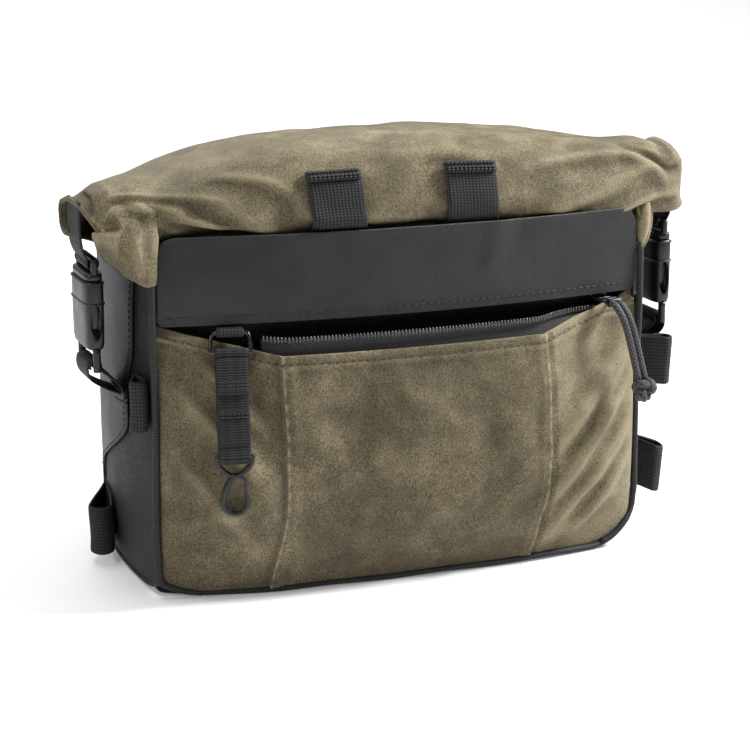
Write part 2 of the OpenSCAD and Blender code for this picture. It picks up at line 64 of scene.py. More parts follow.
SOCKET_BAR_Z, PLUG_BAR_Z, EYE_R = 109.8, 158.0, 2.65
SLIDER_X, UPPER_ZIP_HALF, UPPER_ZIP_TURN = 103.0, 92.0, 2.0
PULL_BAR_R, PULL_BAR_Z = 600.0, 127.1
LEASH_AT, LEASH_TURN = Vector((-90.0, -62.0, 0.0)), math.radians(-12)
CORD_D = 3.5
CORD_ROUTE = [(105.6, -60.7, 126.6), (106.3, -64, 126), (107.5, -67, 123), (109.2, -68.8, 118.5),
              (111, -69.8, 112), (113.5, -71, 101), (115.6, -72.8, 90)]
CORD_SIDE = Vector((1.8, 0.3, 0))
KNOT_AT = Vector((116.5, -74, 85.5))
SIDES = ((1, "right"), (-1, "left"))
FRONTWARD = Vector((0, -1, 0))


# ---- shared functions ----
def smooth(t):
    t = min(1.0, max(0.0, t))
    return t * t * (3 - 2 * t)


def mix(a, b, t):
    return a + (b - a) * t


def steps(a, b, n):
    return [a + (b - a) * i / n for i in range(n + 1)]


def grid(us, vs, point):
    """Rows of points: a row for each u, with a point for each v."""
    return [[point(u, v) for v in vs] for u in us]


def arc_points(u, v, radius, first, last, count):
    """Pairs round (u, v), from one angle to another in degrees."""
    angles = [math.radians(a) for a in steps(first, last, count)]
    return [(u + radius * math.cos(a), v + radius * math.sin(a)) for a in angles]


def hump(d, width):
    return math.exp(-(d / width) ** 2)


def rough(x, y, z, size, seed=0.0):
    """Smooth random value from -1 to 1 that changes over about size millimetres."""
    return noise.noise(Vector((x / size + seed, y / size - seed, z / size + 2 * seed)))


def arc_y(x, r):
    return ARC_CY - math.sqrt(r * r - x * x)


def fullness(z):
    return 0.4 + 0.6 * math.sin(math.pi * min(z, 160) / 160)


def side_x(y, z):
    return HALF_W + SIDE_BULGE * (1 - (y / HALF_D) ** 2) * fullness(z)


def edge_fall(x):
    t = max(0.0, abs(x) - SEAM_X) / (HALF_W - SEAM_X)
    return math.sqrt(max(0.0, 1 - t ** 2.5))


def lip_rise(x):
    """The lip's height where nothing holds it down."""
    return LIP_H + LIP_RISE * (max(0.0, abs(x) - SEAM_X) / LIP_RUN) ** 1.1


def lip_z(x):
    return min(124.5, lip_rise(x))


def pocket_y(x, z):
    lip_out = 8 * (1 - smooth((abs(x) - 60) / 30))
    if z < FULL_H:
        out = (2 + (POCKET_DEPTH - 2) * math.sin(math.pi / 2 * z / FULL_H)) * edge_fall(x)
    else:
        up = min(1.0, (z - FULL_H) / (lip_z(x) - FULL_H))
        out = mix(lip_out, POCKET_DEPTH * edge_fall(x), math.cos(math.pi / 2 * up))
    crown = mix(2, 4.5, z / LIP_H) * (1 - (x / SEAM_X) ** 2) if abs(x) < SEAM_X else 0
    return arc_y(max(abs(x), SEAM_X), FRONT_R) - out - crown


def leash_pt(x, y, z):
    """A point of the leash's turned frame in the bag's frame."""
    turn = Matrix.Rotation(LEASH_TURN, 3, "Z")
    return LEASH_AT + turn @ Vector((x, y - LEASH_AT.y, z))


def slider_pt(x, r, z):
    """A point in the slider's frame: x along the zip, r from the arc's centre."""
    turn = Matrix.Rotation(math.asin(SLIDER_X / CHAIN_R), 3, "Z")
    return Vector((0, ARC_CY, z)) + turn @ Vector((x, -r, 0))


def curve_through(points, count):
    """A smooth line through the points, resampled to count + 1 points."""
    pts = [Vector(p) for p in points]
    ends = [2 * pts[0] - pts[1]] + pts + [2 * pts[-1] - pts[-2]]
    dense = []
    for i in range(1, len(ends) - 2):
        a, b, c, d = ends[i - 1:i + 3]
        for k in range(16):
            t = k / 16
            dense.append(0.5 * (2 * b + (c - a) * t + (2 * a - 5 * b + 4 * c - d) * t * t
                                + (3 * b - a - 3 * c + d) * t ** 3))
    dense.append(pts[-1])
    run = [0.0]
    for p, q in zip(dense, dense[1:]):
        run.append(run[-1] + (q - p).length)
    out, k = [], 0
    for i in range(count + 1):
        want = run[-1] * i / count
        while k < len(run) - 2 and run[k + 1] < want:
            k += 1
        span = max(1e-9, run[k + 1] - run[k])
        out.append(dense[k].lerp(dense[k + 1], min(1.0, (want - run[k]) / span)))
    return out


# ---- making pieces ----
def ridge_attribute(mesh):
    """Marks how far each point stands proud of its neighbours, so that fabric pales where rubbed on raised
    spots and canvas takes painted shade in its hollows.
    """
    near = [[] for _ in mesh.vertices]
    for e in mesh.edges:
        a, b = e.vertices
        near[a].append(b)
        near[b].append(a)
    normals = [v.normal.copy() for v in mesh.vertices]
    raw = []
    for v, ns in zip(mesh.vertices, near):
        if len(ns) < 4:
            raw.append(0.0)
            continue
        mid = sum((mesh.vertices[n].co for n in ns), Vector()) / len(ns)
        gap = sum((mesh.vertices[n].co - v.co).length for n in ns) / len(ns)
        raw.append((v.co - mid).dot(normals[v.index]) / max(1e-9, gap * gap) * 0.01)
    flat = [(raw[i] + sum(raw[n] for n in ns)) / (1 + len(ns)) if ns else raw[i] for i, ns in enumerate(near)]
    attribute = mesh.attributes.new("ridge", "FLOAT", "POINT")
    attribute.data.foreach_set("value", flat)


def add_wear_and_light(obj, amount):
    """Adds to the ridge value, which paints rubbed pale spots and also painted light and shade: amount is a
    function of a point in millimetres.
    """
    attribute = obj.data.attributes["ridge"]
    for v, item in zip(obj.data.vertices, attribute.data):
        item.value += amount(v.co / MM)


def piece(name, verts, faces, material, body, nodes=(), uvs=None):
    """A mesh piece from millimetre points. uvs holds one pair in metres for each point."""
    mesh = bpy.data.meshes.new(name)
    mesh.from_pydata([Vector(v) * MM for v in verts], [], faces)
    if uvs:
        layer = mesh.uv_layers.new(name="cloth")
        for loop in mesh.loops:
            layer.data[loop.index].uv = uvs[loop.vertex_index]
    mesh.update()
    for polygon in mesh.polygons:
        polygon.use_smooth = True
    obj = bpy.data.objects.new(name, mesh)
    bpy.context.scene.collection.objects.link(obj)
    mesh.materials.append(material)
    if body:
        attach(obj, body)
    if nodes:
        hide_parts(*nodes)
    return obj


def grid_data(rows, loop=False):
    """Points, faces and metre coordinates of a grid; loop joins each row's end to its start."""
    n, m = len(rows), len(rows[0])
    verts = [Vector(p) for row in rows for p in row]
    faces = []
    for i in range(n - 1):
        for j in range(m if loop else m - 1):
            a, b = i * m + j, i * m + (j + 1) % m
            faces.append((a, b, b + m, a + m))
    across = [0.0]
    mid = rows[n // 2]
    for p, q in zip(mid, mid[1:]):
        across.append(across[-1] + (Vector(q) - Vector(p)).length)
    along = [0.0]
    for r, s in zip(rows, rows[1:]):
        along.append(along[-1] + (Vector(s[m // 2]) - Vector(r[m // 2])).length)
    uvs = [(along[i] * MM, across[j] * MM) for i in range(n) for j in range(m)]
    return verts, faces, uvs


def subdivide(obj, levels):
    modifier = obj.modifiers.new("smooth", "SUBSURF")
    modifier.levels = modifier.render_levels = levels
    return obj


def thicken(obj, thickness, side=-1.0):
    modifier = obj.modifiers.new("thickness", "SOLIDIFY")
    modifier.thickness = thickness * MM
    modifier.offset = side
    modifier.use_even_offset = False
    return obj


def facing_out(verts, faces, middle=Vector((0, 0, 90))):
    """The same faces, turned so that the sheet's front looks away from the bag's middle."""
    total = 0.0
    for a, b, c, d in faces:
        normal = (verts[b] - verts[a]).cross(verts[d] - verts[a])
        total += normal.dot((verts[a] + verts[c]) / 2 - middle)
    return faces if total > 0 else [tuple(reversed(f)) for f in faces]


def cloth(name, rows, thickness, material, body, nodes=(), side=-1.0, levels=1, wear_and_painted_light=False):
    """A sheet of fabric: a grid of points with real thickness, which grows inward, and rounded edges."""
    verts, faces, uvs = grid_data(rows)
    faces = facing_out(verts, faces)
    obj = piece(name, verts, faces, material, body, nodes, uvs)
    # the ridge value paints pale rubbed ridges and, on canvas, painted shade in the hollows
    if wear_and_painted_light:
        ridge_attribute(obj.data)
    thicken(obj, thickness, side)
    return subdivide(obj, levels)


def tube_data(path, radius, sides=12, closed=False, up=Vector((0, 0, 1))):
    """A round tube along a path; radius is a number or a function of the share travelled."""
    pts = [Vector(p) for p in path]
    n = len(pts)
    across = None
    verts, faces, uvs, run = [], [], [], 0.0
    for i, p in enumerate(pts):
        ahead = pts[(i + 1) % n] if closed or i < n - 1 else p
        behind = pts[i - 1] if closed or i > 0 else p
        way = (ahead - behind).normalized()
        if across is None:
            guess = up if abs(way.dot(up)) < 0.9 else Vector((1, 0, 0))
            across = way.cross(guess).normalized()
        across = (across - way * across.dot(way)).normalized()
        other = way.cross(across)
        size = radius(i / max(1, n - 1)) if callable(radius) else radius
        for k in range(sides):
            a = 2 * math.pi * k / sides
            verts.append(p + across * math.cos(a) * size + other * math.sin(a) * size)
            uvs.append((run * MM, a / (2 * math.pi)))
        run += (ahead - p).length
    for i in range(n if closed else n - 1):
        for k in range(sides):
            a, b = i * sides + k, i * sides + (k + 1) % sides
            c, d = ((i + 1) % n) * sides + (k + 1) % sides, ((i + 1) % n) * sides + k
            faces.append((a, b, c, d))
    if not closed:
        faces.append(tuple(range(sides - 1, -1, -1)))
        faces.append(tuple(range((n - 1) * sides, n * sides)))
    return verts, faces, uvs


def joined(parts):
    """Several (points, faces, coordinates) as one."""
    verts, faces, uvs = [], [], []
    for v, f, u in parts:
        base = len(verts)
        verts += v
        faces += [tuple(base + i for i in face) for face in f]
        uvs += u
    return verts, faces, uvs


def tube(name, path, radius, material, body, slot, nodes=(), **shape):
    verts, faces, uvs = tube_data(path, radius, **shape)
    return piece(name, verts, faces, material, body, nodes, uvs)


def ribbon_rows(path, width, side, across=6):
    """Rows of a flat strip: path is its middle line and side points across it."""
    way = Vector(side).normalized()
    return grid(path, steps(-1, 1, across), lambda p, t: Vector(p) + way * (t * width / 2))


def ribbon(name, path, width, thickness, side, material, body, nodes=(), levels=1, across=6):
    return cloth(name, ribbon_rows(path, width, side, across=across), thickness, material, body, nodes,
                 side=0.0, levels=levels)


def stitch_data(path, normal, length=2.5, gap=1.3, radius=0.38):
    """Sunken thread stitches along a line; normal points out of the cloth."""
    parts = []
    pts = [Vector(p) for p in path]
    run, want = 0.0, length
    for p, q in zip(pts, pts[1:]):
        span = (q - p).length
        while run + span >= want:
            at = p.lerp(q, (want - run) / span)
            way = (q - p).normalized()
            out = normal.normalized()
            side = way.cross(out).normalized()
            verts = []
            for share, size in ((-0.5, 0.35), (-0.3, 1.0), (0.3, 1.0), (0.5, 0.35)):
                for k in range(6):
                    a = math.pi * k / 3
                    verts.append(at + way * share * length + side * math.cos(a) * radius * size
                                 + out * math.sin(a) * radius * size)
            faces = [(r * 6 + k, r * 6 + (k + 1) % 6, r * 6 + 6 + (k + 1) % 6, r * 6 + 6 + k)
                     for r in range(3) for k in range(6)]
            faces += [tuple(range(5, -1, -1)), tuple(range(18, 24))]
            parts.append((verts, faces, [(0.0, 0.0)] * 24))
            want += length + gap
        run += span
    return joined(parts)


def stitches(name, lines, material, body, slot, **shape):
    """One piece that holds every stitch of the given (path, normal) lines."""
    verts, faces, uvs = joined([stitch_data(path, normal, **shape) for path, normal in lines])
    return piece(name, verts, faces, material, body, uvs=uvs)


def ring_loft(name, rings, material, body, nodes=(), levels=1):
    """A closed solid through rings of points, with domed ends."""
    verts, faces, uvs = grid_data(rings, loop=True)
    m = len(rings[0])
    faces = [tuple(reversed(f)) for f in faces]
    faces.append(tuple(range(m)))
    faces.append(tuple(range((len(rings) - 1) * m + m - 1, (len(rings) - 1) * m - 1, -1)))
    obj = piece(name, verts, faces, material, body, nodes, uvs)
    return subdivide(obj, levels) if levels else obj


def fix_normals(obj):
    """Turns a closed mesh's faces outward."""
    work = bmesh.new()
    work.from_mesh(obj.data)
    bmesh.ops.recalc_face_normals(work, faces=work.faces)
    work.to_mesh(obj.data)
    work.free()
    return obj


# ---- materials ----
class Nodes:
    """A short way to write a node material."""

    def __init__(self, name):
        self.material = bpy.data.materials.new(name)
        self.material.use_nodes = True
        self.tree = self.material.node_tree
        self.shader = self.tree.nodes["Principled BSDF"]
        self.place = self.add("ShaderNodeTexCoord").outputs["Object"]
        self.cloth = self.add("ShaderNodeUVMap", uv_map="cloth").outputs["UV"]

    def add(self, kind, **settings):
        node = self.tree.nodes.new(kind)
        for key, value in settings.items():
            setattr(node, key, value)
        return node

    def link(self, value, socket):
        if isinstance(value, bpy.types.NodeSocket):
            self.tree.links.new(value, socket)
        else:
            socket.default_value = value

    def noise(self, scale, detail=3.0, roughness=0.55, distortion=0.0):
        node = self.add("ShaderNodeTexNoise")
        self.link(self.place, node.inputs["Vector"])
        node.inputs["Scale"].default_value = scale
        node.inputs["Detail"].default_value = detail
        node.inputs["Roughness"].default_value = roughness
        node.inputs["Distortion"].default_value = distortion
        return node.outputs["Fac"]

    def cells(self, scale):
        node = self.add("ShaderNodeTexVoronoi", feature="DISTANCE_TO_EDGE")
        self.link(self.place, node.inputs["Vector"])
        node.inputs["Scale"].default_value = scale
        return node.outputs["Distance"]

    def math(self, operation, a, b=0.0, c=0.0):
        node = self.add("ShaderNodeMath", operation=operation)
        for value, socket in zip((a, b, c), node.inputs):
            self.link(value, socket)
        return node.outputs[0]

    def weighted(self, a, share_a, b, share_b):
        return self.math("ADD", self.math("MULTIPLY", a, share_a), self.math("MULTIPLY", b, share_b))

    def split(self, vector):
        node = self.add("ShaderNodeSeparateXYZ")
        self.link(vector, node.inputs[0])
        return node.outputs

    def wave(self, value, pitch):
        """From 0 to 1 and back over each pitch, in metres."""
        turn = self.math("MULTIPLY", value, 2 * math.pi / pitch)
        return self.math("MULTIPLY_ADD", self.math("SINE", turn), 0.5, 0.5)

    def ramp(self, value, stops):
        node = self.add("ShaderNodeValToRGB")
        self.link(value, node.inputs[0])
        elements = node.color_ramp.elements
        for i, (at, colour) in enumerate(stops):
            element = elements[i] if i < 2 else elements.new(at)
            element.position = at
            element.color = (*colour, 1)
        return node.outputs[0]

    def blend(self, share, a, b, how="MIX"):
        node = self.add("ShaderNodeMix", data_type="RGBA", blend_type=how)
        self.link(share, node.inputs[0])
        self.link(a if isinstance(a, bpy.types.NodeSocket) else (*a, 1), node.inputs[6])
        self.link(b if isinstance(b, bpy.types.NodeSocket) else (*b, 1), node.inputs[7])
        return node.outputs[2]

    def range(self, value, low, high, to_low=0.0, to_high=1.0):
        node = self.add("ShaderNodeMapRange")
        for v, socket in zip((value, low, high, to_low, to_high), node.inputs):
            self.link(v, socket)
        return node.outputs[0]

    def attribute(self, name):
        return self.add("ShaderNodeAttribute", attribute_name=name).outputs["Fac"]

    def finish(self, colour, roughness, height=None, depth=0.3, distance=0.3, metallic=0.0, specular=0.5,
               sheen=0.0):
        self.link(colour if isinstance(colour, bpy.types.NodeSocket) else (*colour, 1),
                  self.shader.inputs["Base Color"])
        self.link(roughness, self.shader.inputs["Roughness"])
        self.shader.inputs["Metallic"].default_value = metallic
        self.shader.inputs["Specular IOR Level"].default_value = specular
        self.shader.inputs["Sheen Weight"].default_value = sheen
        if height is not None:
            bump = self.add("ShaderNodeBump")
            bump.inputs["Strength"].default_value = depth
            bump.inputs["Distance"].default_value = distance * MM
            self.link(height, bump.inputs["Height"])
            self.link(bump.outputs[0], self.shader.inputs["Normal"])
        return self.material


def waxed_canvas():
    """Tan waxed cotton: mottled wax, fine grain, pale rubbed ridges, and painted shade that darkens the
    hollows of its folds.
    """
    n = Nodes("waxed_canvas")
    broad = n.noise(24, 4, 0.6, distortion=0.6)
    patches = n.noise(85, 4, 0.6)
    grain = n.noise(2100, 2, 0.75)
    fine = n.noise(1050, 3, 0.7)
    tone = n.weighted(broad, 0.6, patches, 0.4)
    colour = n.ramp(tone, [(0.3, (0.052, 0.041, 0.023)), (0.7, (0.19, 0.156, 0.096)),
                           (0.5, (0.105, 0.086, 0.05))])
    speckle = n.range(n.weighted(grain, 0.4, fine, 0.6), 0.36, 0.64, 0.34, 1.75)
    colour = n.blend(1.0, colour, n.ramp(n.math("MULTIPLY", speckle, 0.5),
                                         [(0.0, (0, 0, 0)), (1.0, (2, 2, 2))]), "MULTIPLY")
    ridge = n.attribute("ridge")
    pale = n.range(n.math("ADD", ridge, n.math("MULTIPLY", n.math("SUBTRACT", patches, 0.5), 0.3)), 0.1, 0.75)
    # painted shade: where the ridge value is low, in the hollows of folds and beside the pocket seams, the
    # colour is darkened towards deep brown
    dark = n.range(n.math("MULTIPLY", ridge, -1.0), 0.08, 0.8)
    # pale where the ridge value is high: rubbed wax on raised creases, plus painted light added to the ridge
    # value on some pocket panels and on the roll
    pale_wear_and_light = n.math("MULTIPLY", n.math("MULTIPLY", pale, 0.55), n.range(fine, 0.3, 0.6, 0.55, 1.0))
    colour = n.blend(pale_wear_and_light, colour, (0.33, 0.275, 0.175))
    colour = n.blend(n.math("MULTIPLY", dark, 0.5), colour, (0.028, 0.022, 0.013))
    scratch = n.range(n.noise(60, 6, 0.75, distortion=3.0), 0.495, 0.505)
    line = n.math("MULTIPLY", n.math("MULTIPLY", scratch, n.math("SUBTRACT", 1.0, scratch)), 4.0)
    colour = n.blend(n.math("MULTIPLY", line, n.range(broad, 0.45, 0.7, 0.0, 0.35)), colour,
                     (0.32, 0.27, 0.18))
    axes = n.split(n.cloth)
    weave = n.math("MULTIPLY", n.wave(axes[0], 0.0009), n.wave(axes[1], 0.0009))
    height = n.weighted(weave, 0.3, grain, 0.8)
    return n.finish(colour, n.range(patches, 0.3, 0.7, 0.62, 0.86), height, 0.5, 0.3, specular=0.22,
                    sheen=0.04)


def grained_leather(name, low, high, gloss):
    """Smooth dark leather with a fine grain and rubbed high spots."""
    n = Nodes(name)
    broad = n.noise(30, 4, 0.6)
    fine = n.noise(900, 3, 0.6)
    tone = n.weighted(broad, 0.7, fine, 0.3)
    colour = n.ramp(tone, [(0.3, low), (0.7, high)])
    rub = n.range(n.attribute("ridge"), 0.15, 0.9, 0.0, 0.45)
    colour = n.blend(rub, colour, tuple(3.0 * c for c in high))
    grain = n.range(n.cells(1100), 0.0, 0.25)
    height = n.math("ADD", n.math("MULTIPLY", grain, 0.5), fine)
    return n.finish(colour, n.range(broad, 0.3, 0.7, gloss, gloss + 0.14), height, 0.7, 0.22, specular=0.3)


def twill_nylon():
    """Coarse black nylon with raised diagonal ribs that meet at a fold near the front edge."""
    n = Nodes("black_nylon")
    axes = n.split(n.place)
    depth = n.math("ABSOLUTE", n.math("ADD", axes[1], 0.0405))
    slope = n.weighted(depth, 1.15, axes[2], -1.0)
    slope = n.math("ADD", slope, n.math("MULTIPLY", axes[0], 0.35))
    rib = n.wave(slope, 0.0019)
    cross = n.wave(n.math("ADD", axes[2], n.math("MULTIPLY", axes[1], 0.6)), 0.00085)
    fluff = n.noise(500, 3, 0.6)
    tone = n.weighted(rib, 0.75, cross, 0.25)
    colour = n.ramp(n.math("MULTIPLY", tone, n.range(fluff, 0.2, 0.8, 0.75, 1.15)),
                    [(0.25, (0.0008, 0.0008, 0.0008)), (0.85, (0.04, 0.04, 0.042))])
    return n.finish(colour, n.range(fluff, 0.3, 0.7, 0.5, 0.72), tone, 0.8, 0.4, specular=0.22)


def ribbed_webbing(name, low, high, pitch, cross_pitch, share=0.5):
    """Woven tape: ribs along its length and ticks across."""
    n = Nodes(name)
    axes = n.split(n.cloth)
    rib = n.wave(axes[1], pitch)
    tick = n.wave(n.math("ADD", axes[0], n.math("MULTIPLY", rib, 0.0003)), cross_pitch)
    fluff = n.noise(700, 3, 0.65)
    tone = n.weighted(rib, share, tick, 1 - share)
    colour = n.ramp(n.math("MULTIPLY", tone, n.range(fluff, 0.2, 0.8, 0.7, 1.2)), [(0.1, low), (0.9, high)])
    return n.finish(colour, n.range(fluff, 0.3, 0.7, 0.55, 0.78), tone, 0.7, 0.25, specular=0.25)


def bound_tape():
    """Rib-textured tape round an edge, its ribs slanting."""
    n = Nodes("binding")
    axes = n.split(n.place)
    slope = n.math("ADD", n.math("ADD", axes[2], n.math("MULTIPLY", axes[0], 0.55)), axes[1])
    rib = n.wave(slope, 0.0013)
    fluff = n.noise(900, 3, 0.6)
    colour = n.ramp(n.math("MULTIPLY", rib, n.range(fluff, 0.2, 0.8, 0.6, 1.1)),
                    [(0.1, (0.003, 0.003, 0.003)), (0.95, (0.032, 0.032, 0.034))])
    return n.finish(colour, n.range(fluff, 0.3, 0.7, 0.55, 0.75), rib, 0.5, 0.2, specular=0.35)


def braided_cord():
    """Round braid: two sets of crossing strands."""
    n = Nodes("braided_cord")
    axes = n.split(n.cloth)
    along = n.math("MULTIPLY", axes[0], 2 * math.pi / 0.0022)
    round_ = n.math("MULTIPLY", axes[1], 2 * math.pi * 5)
    one = n.math("SINE", n.math("ADD", along, round_))
    two = n.math("SINE", n.math("SUBTRACT", along, round_))
    braid = n.math("MULTIPLY_ADD", n.math("MAXIMUM", one, two), 0.5, 0.5)
    fluff = n.noise(1400, 3, 0.7)
    colour = n.ramp(n.math("MULTIPLY", braid, n.range(fluff, 0.25, 0.75, 0.55, 1.2)),
                    [(0.3, (0.008, 0.008, 0.009)), (1.0, (0.07, 0.07, 0.076))])
    return n.finish(colour, n.range(fluff, 0.3, 0.7, 0.5, 0.72), braid, 0.7, 0.25, specular=0.4, sheen=0.05)


def moulded(name, base, gloss, metallic=0.0):
    """Moulded plastic or enamel with a faint flow mark and dust."""
    n = Nodes(name)
    flow = n.noise(70, 4, 0.55)
    dust = n.noise(1800, 2, 0.7)
    colour = n.ramp(n.weighted(flow, 0.75, dust, 0.25),
                    [(0.3, tuple(0.6 * c for c in base)), (0.72, tuple(1.7 * c for c in base))])
    return n.finish(colour, n.range(flow, 0.3, 0.7, gloss, gloss + 0.14), dust, 0.15, 0.05,
                    metallic=metallic, specular=0.45)


def drawn_steel():
    """Blackened wire with fine drawing marks."""
    n = Nodes("ring_steel")
    streak = n.noise(420, 4, 0.6)
    spots = n.noise(90, 3, 0.5)
    colour = n.ramp(streak, [(0.3, (0.03, 0.03, 0.032)), (0.7, (0.09, 0.09, 0.095))])
    return n.finish(colour, n.range(spots, 0.3, 0.7, 0.2, 0.36), streak, 0.2, 0.05, metallic=1.0)


def thread(name, base):
    """Fuzzy sewing thread."""
    n = Nodes(name)
    fluff = n.noise(2500, 2, 0.6)
    colour = n.ramp(fluff, [(0.3, tuple(0.5 * c for c in base)), (0.7, tuple(1.5 * c for c in base))])
    return n.finish(colour, n.range(fluff, 0.3, 0.7, 0.5, 0.7), fluff, 0.4, 0.05)


def plain_lining():
    """Thin plain-woven lining."""
    n = Nodes("lining")
    axes = n.split(n.place)
    weave = n.math("MULTIPLY", n.wave(n.math("ADD", axes[0], axes[1]), 0.0012), n.wave(axes[2], 0.0012))
    fluff = n.noise(300, 4, 0.6)
    colour = n.ramp(n.math("MULTIPLY", weave, n.range(fluff, 0.2, 0.8, 0.7, 1.2)),
                    [(0.05, (0.004, 0.004, 0.006)), (0.9, (0.018, 0.019, 0.026))])
    return n.finish(colour, n.range(fluff, 0.3, 0.7, 0.6, 0.8), weave, 0.5, 0.2, specular=0.3)


CANVAS = waxed_canvas()
LEATHER = grained_leather("black_leather", (0.0075, 0.0075, 0.008), (0.025, 0.025, 0.0265), 0.4)
PATCH = grained_leather("patch_leather", (0.012, 0.012, 0.0125), (0.034, 0.034, 0.036), 0.46)
NYLON = twill_nylon()
LINING = plain_lining()
WEBBING = ribbed_webbing("webbing", (0.002, 0.002, 0.002), (0.03, 0.03, 0.032), 0.0017, 0.0013)
LEASH_TAPE = ribbed_webbing("leash_webbing", (0.002, 0.002, 0.002), (0.027, 0.027, 0.028), 0.0052, 0.00125,
                            0.25)
BINDING = bound_tape()
CORD = braided_cord()
PLASTIC = moulded("buckle_plastic", (0.005, 0.005, 0.0055), 0.33)
ENAMEL = moulded("zip_metal", (0.02, 0.02, 0.021), 0.25, metallic=0.3)
TEETH = moulded("zip_teeth", (0.05, 0.051, 0.054), 0.2)
STEEL = drawn_steel()
THREAD = thread("dark_thread", (0.009, 0.009, 0.0095))
TAN_THREAD = thread("tan_thread", (0.016, 0.012, 0.008))


# ---- camera, light and floor ----
VIEW_WAY = Vector((0.3437, 0.907, -0.2433)).normalized()
VIEW_TARGET, VIEW_DISTANCE, LENS = Vector((0.00418, 0.0, 0.08489)), 1.15206, 110.5
FLOOR_HALF, FLOOR_Z = 15000, -0.3


def camera():
    scene = bpy.context.scene
    obj = bpy.data.objects.new("camera", bpy.data.cameras.new("camera"))
    scene.collection.objects.link(obj)
    obj.location = VIEW_TARGET - VIEW_WAY * VIEW_DISTANCE
    obj.rotation_euler = VIEW_WAY.to_track_quat("-Z", "Y").to_euler()
    obj.data.sensor_width = 36
    obj.data.lens = LENS
    obj.data.dof.use_dof = False
    scene.camera = obj
    scene.view_settings.view_transform = "Standard"


def soft_box(name, place, size, power, aim=(0, 0, 0.1)):
    light = bpy.data.objects.new(name, bpy.data.lights.new(name, "AREA"))
    light.data.energy = power
    light.data.size = size
    light.location = place
    way = Vector(aim) - Vector(place)
    light.rotation_euler = way.to_track_quat("-Z", "Y").to_euler()
    bpy.context.scene.collection.objects.link(light)


def studio():
    soft_box("key", (1.5, -0.3, 1.42), 0.45, 84)
    soft_box("top", (-0.3, 0.1, 1.7), 0.9, 20)
    soft_box("left", (-1.5, -0.5, 1.0), 0.6, 7)
    soft_box("backdrop", (0, 4.2, 2.6), 3.5, 160, aim=(0, 4.6, 0))
    world = bpy.data.worlds.new("studio")
    world.use_nodes = True
    world.node_tree.nodes["Background"].inputs[0].default_value = (1, 1, 1, 1)
    world.node_tree.nodes["Background"].inputs[1].default_value = 0.2
    bpy.context.scene.world = world


def floor():
    places = steps(-FLOOR_HALF, FLOOR_HALF, 6)
    verts, faces, _ = grid_data(grid(places, places, lambda x, y: (x, y, FLOOR_Z)))
    mesh = bpy.data.meshes.new("floor")
    mesh.from_pydata([v * MM for v in verts], [], faces)
    obj = bpy.data.objects.new("floor", mesh)
    bpy.context.scene.collection.objects.link(obj)
    n = Nodes("floor")
    colour = n.ramp(n.noise(6, 2), [(0.2, (0.7, 0.7, 0.7)), (0.8, (0.72, 0.72, 0.72))])
    mesh.materials.append(n.finish(colour, 0.7))
    n.shader.inputs["Emission Color"].default_value = (1, 1, 1, 1)
    n.shader.inputs["Emission Strength"].default_value = 0.2


camera()
studio()
floor()


# ---- pull cord ----
def pull_knot():
    """An overhand knot with two short tails."""
    turns = 72
    path = []
    for i in range(turns):
        t = 2 * math.pi * i / turns
        path.append(KNOT_AT + Vector(((math.sin(t) + 2 * math.sin(2 * t)) * 1.42,
                                      -math.sin(3 * t) * 2.5 - 0.3,
                                      (math.cos(t) - 2 * math.cos(2 * t)) * 1.55)))
    parts = [tube_data(path, 2.15, 12, closed=True)]
    for side in (-1, 1):
        tail = [KNOT_AT + Vector((side * 1.6, 0, 1)), KNOT_AT + Vector((side * 2.2 - 1, -1.6, -2.5)),
                KNOT_AT + Vector((side * 2.5 - 2.4, -3.2, -4.6))]
        parts.append(tube_data(curve_through(tail, 8), 1.9, 12))
    verts, faces, uvs = joined(parts)
    knot = piece("pull_knot_tied", verts, faces, CORD, "zip_pull", ["pull_knot"], uvs)
    return subdivide(knot, 1)


def pull_cord():
    """Two braided strands, tied together, hanging from the slider's clip."""
    knot = pull_knot()
    for name, side in (("left", -1), ("right", 1)):
        path = curve_through([Vector(p) + CORD_SIDE * side for p in CORD_ROUTE], 30)
        verts, faces, uvs = tube_data(path, CORD_D / 2, 14)
        strand = piece(f"pull_strand_{name}", verts, faces, CORD, "zip_pull", [f"pull_cord_{name}"],
                       uvs)


pull_cord()


# ---- front pocket ----
def fold(x, z, ends, height, width):
    """A soft crease between two places on the pocket, fading out at both."""
    (x0, z0), (x1, z1) = ends
    run = Vector((x1 - x0, z1 - z0))
    away = Vector((x - x0, z - z0))
    t = away.dot(run) / run.length_squared
    if not 0 < t < 1:
        return 0.0
    d = (away.x * run.y - away.y * run.x) / run.length
    d += 3.0 * math.sin(3 * t + x0)
    crest = hump(d, width) - 0.45 * hump(d - 2.1 * width, 1.4 * width) - 0.3 * hump(d + 2.4 * width,
                                                                                    1.6 * width)
    return height * math.sin(math.pi * t) ** 0.7 * crest


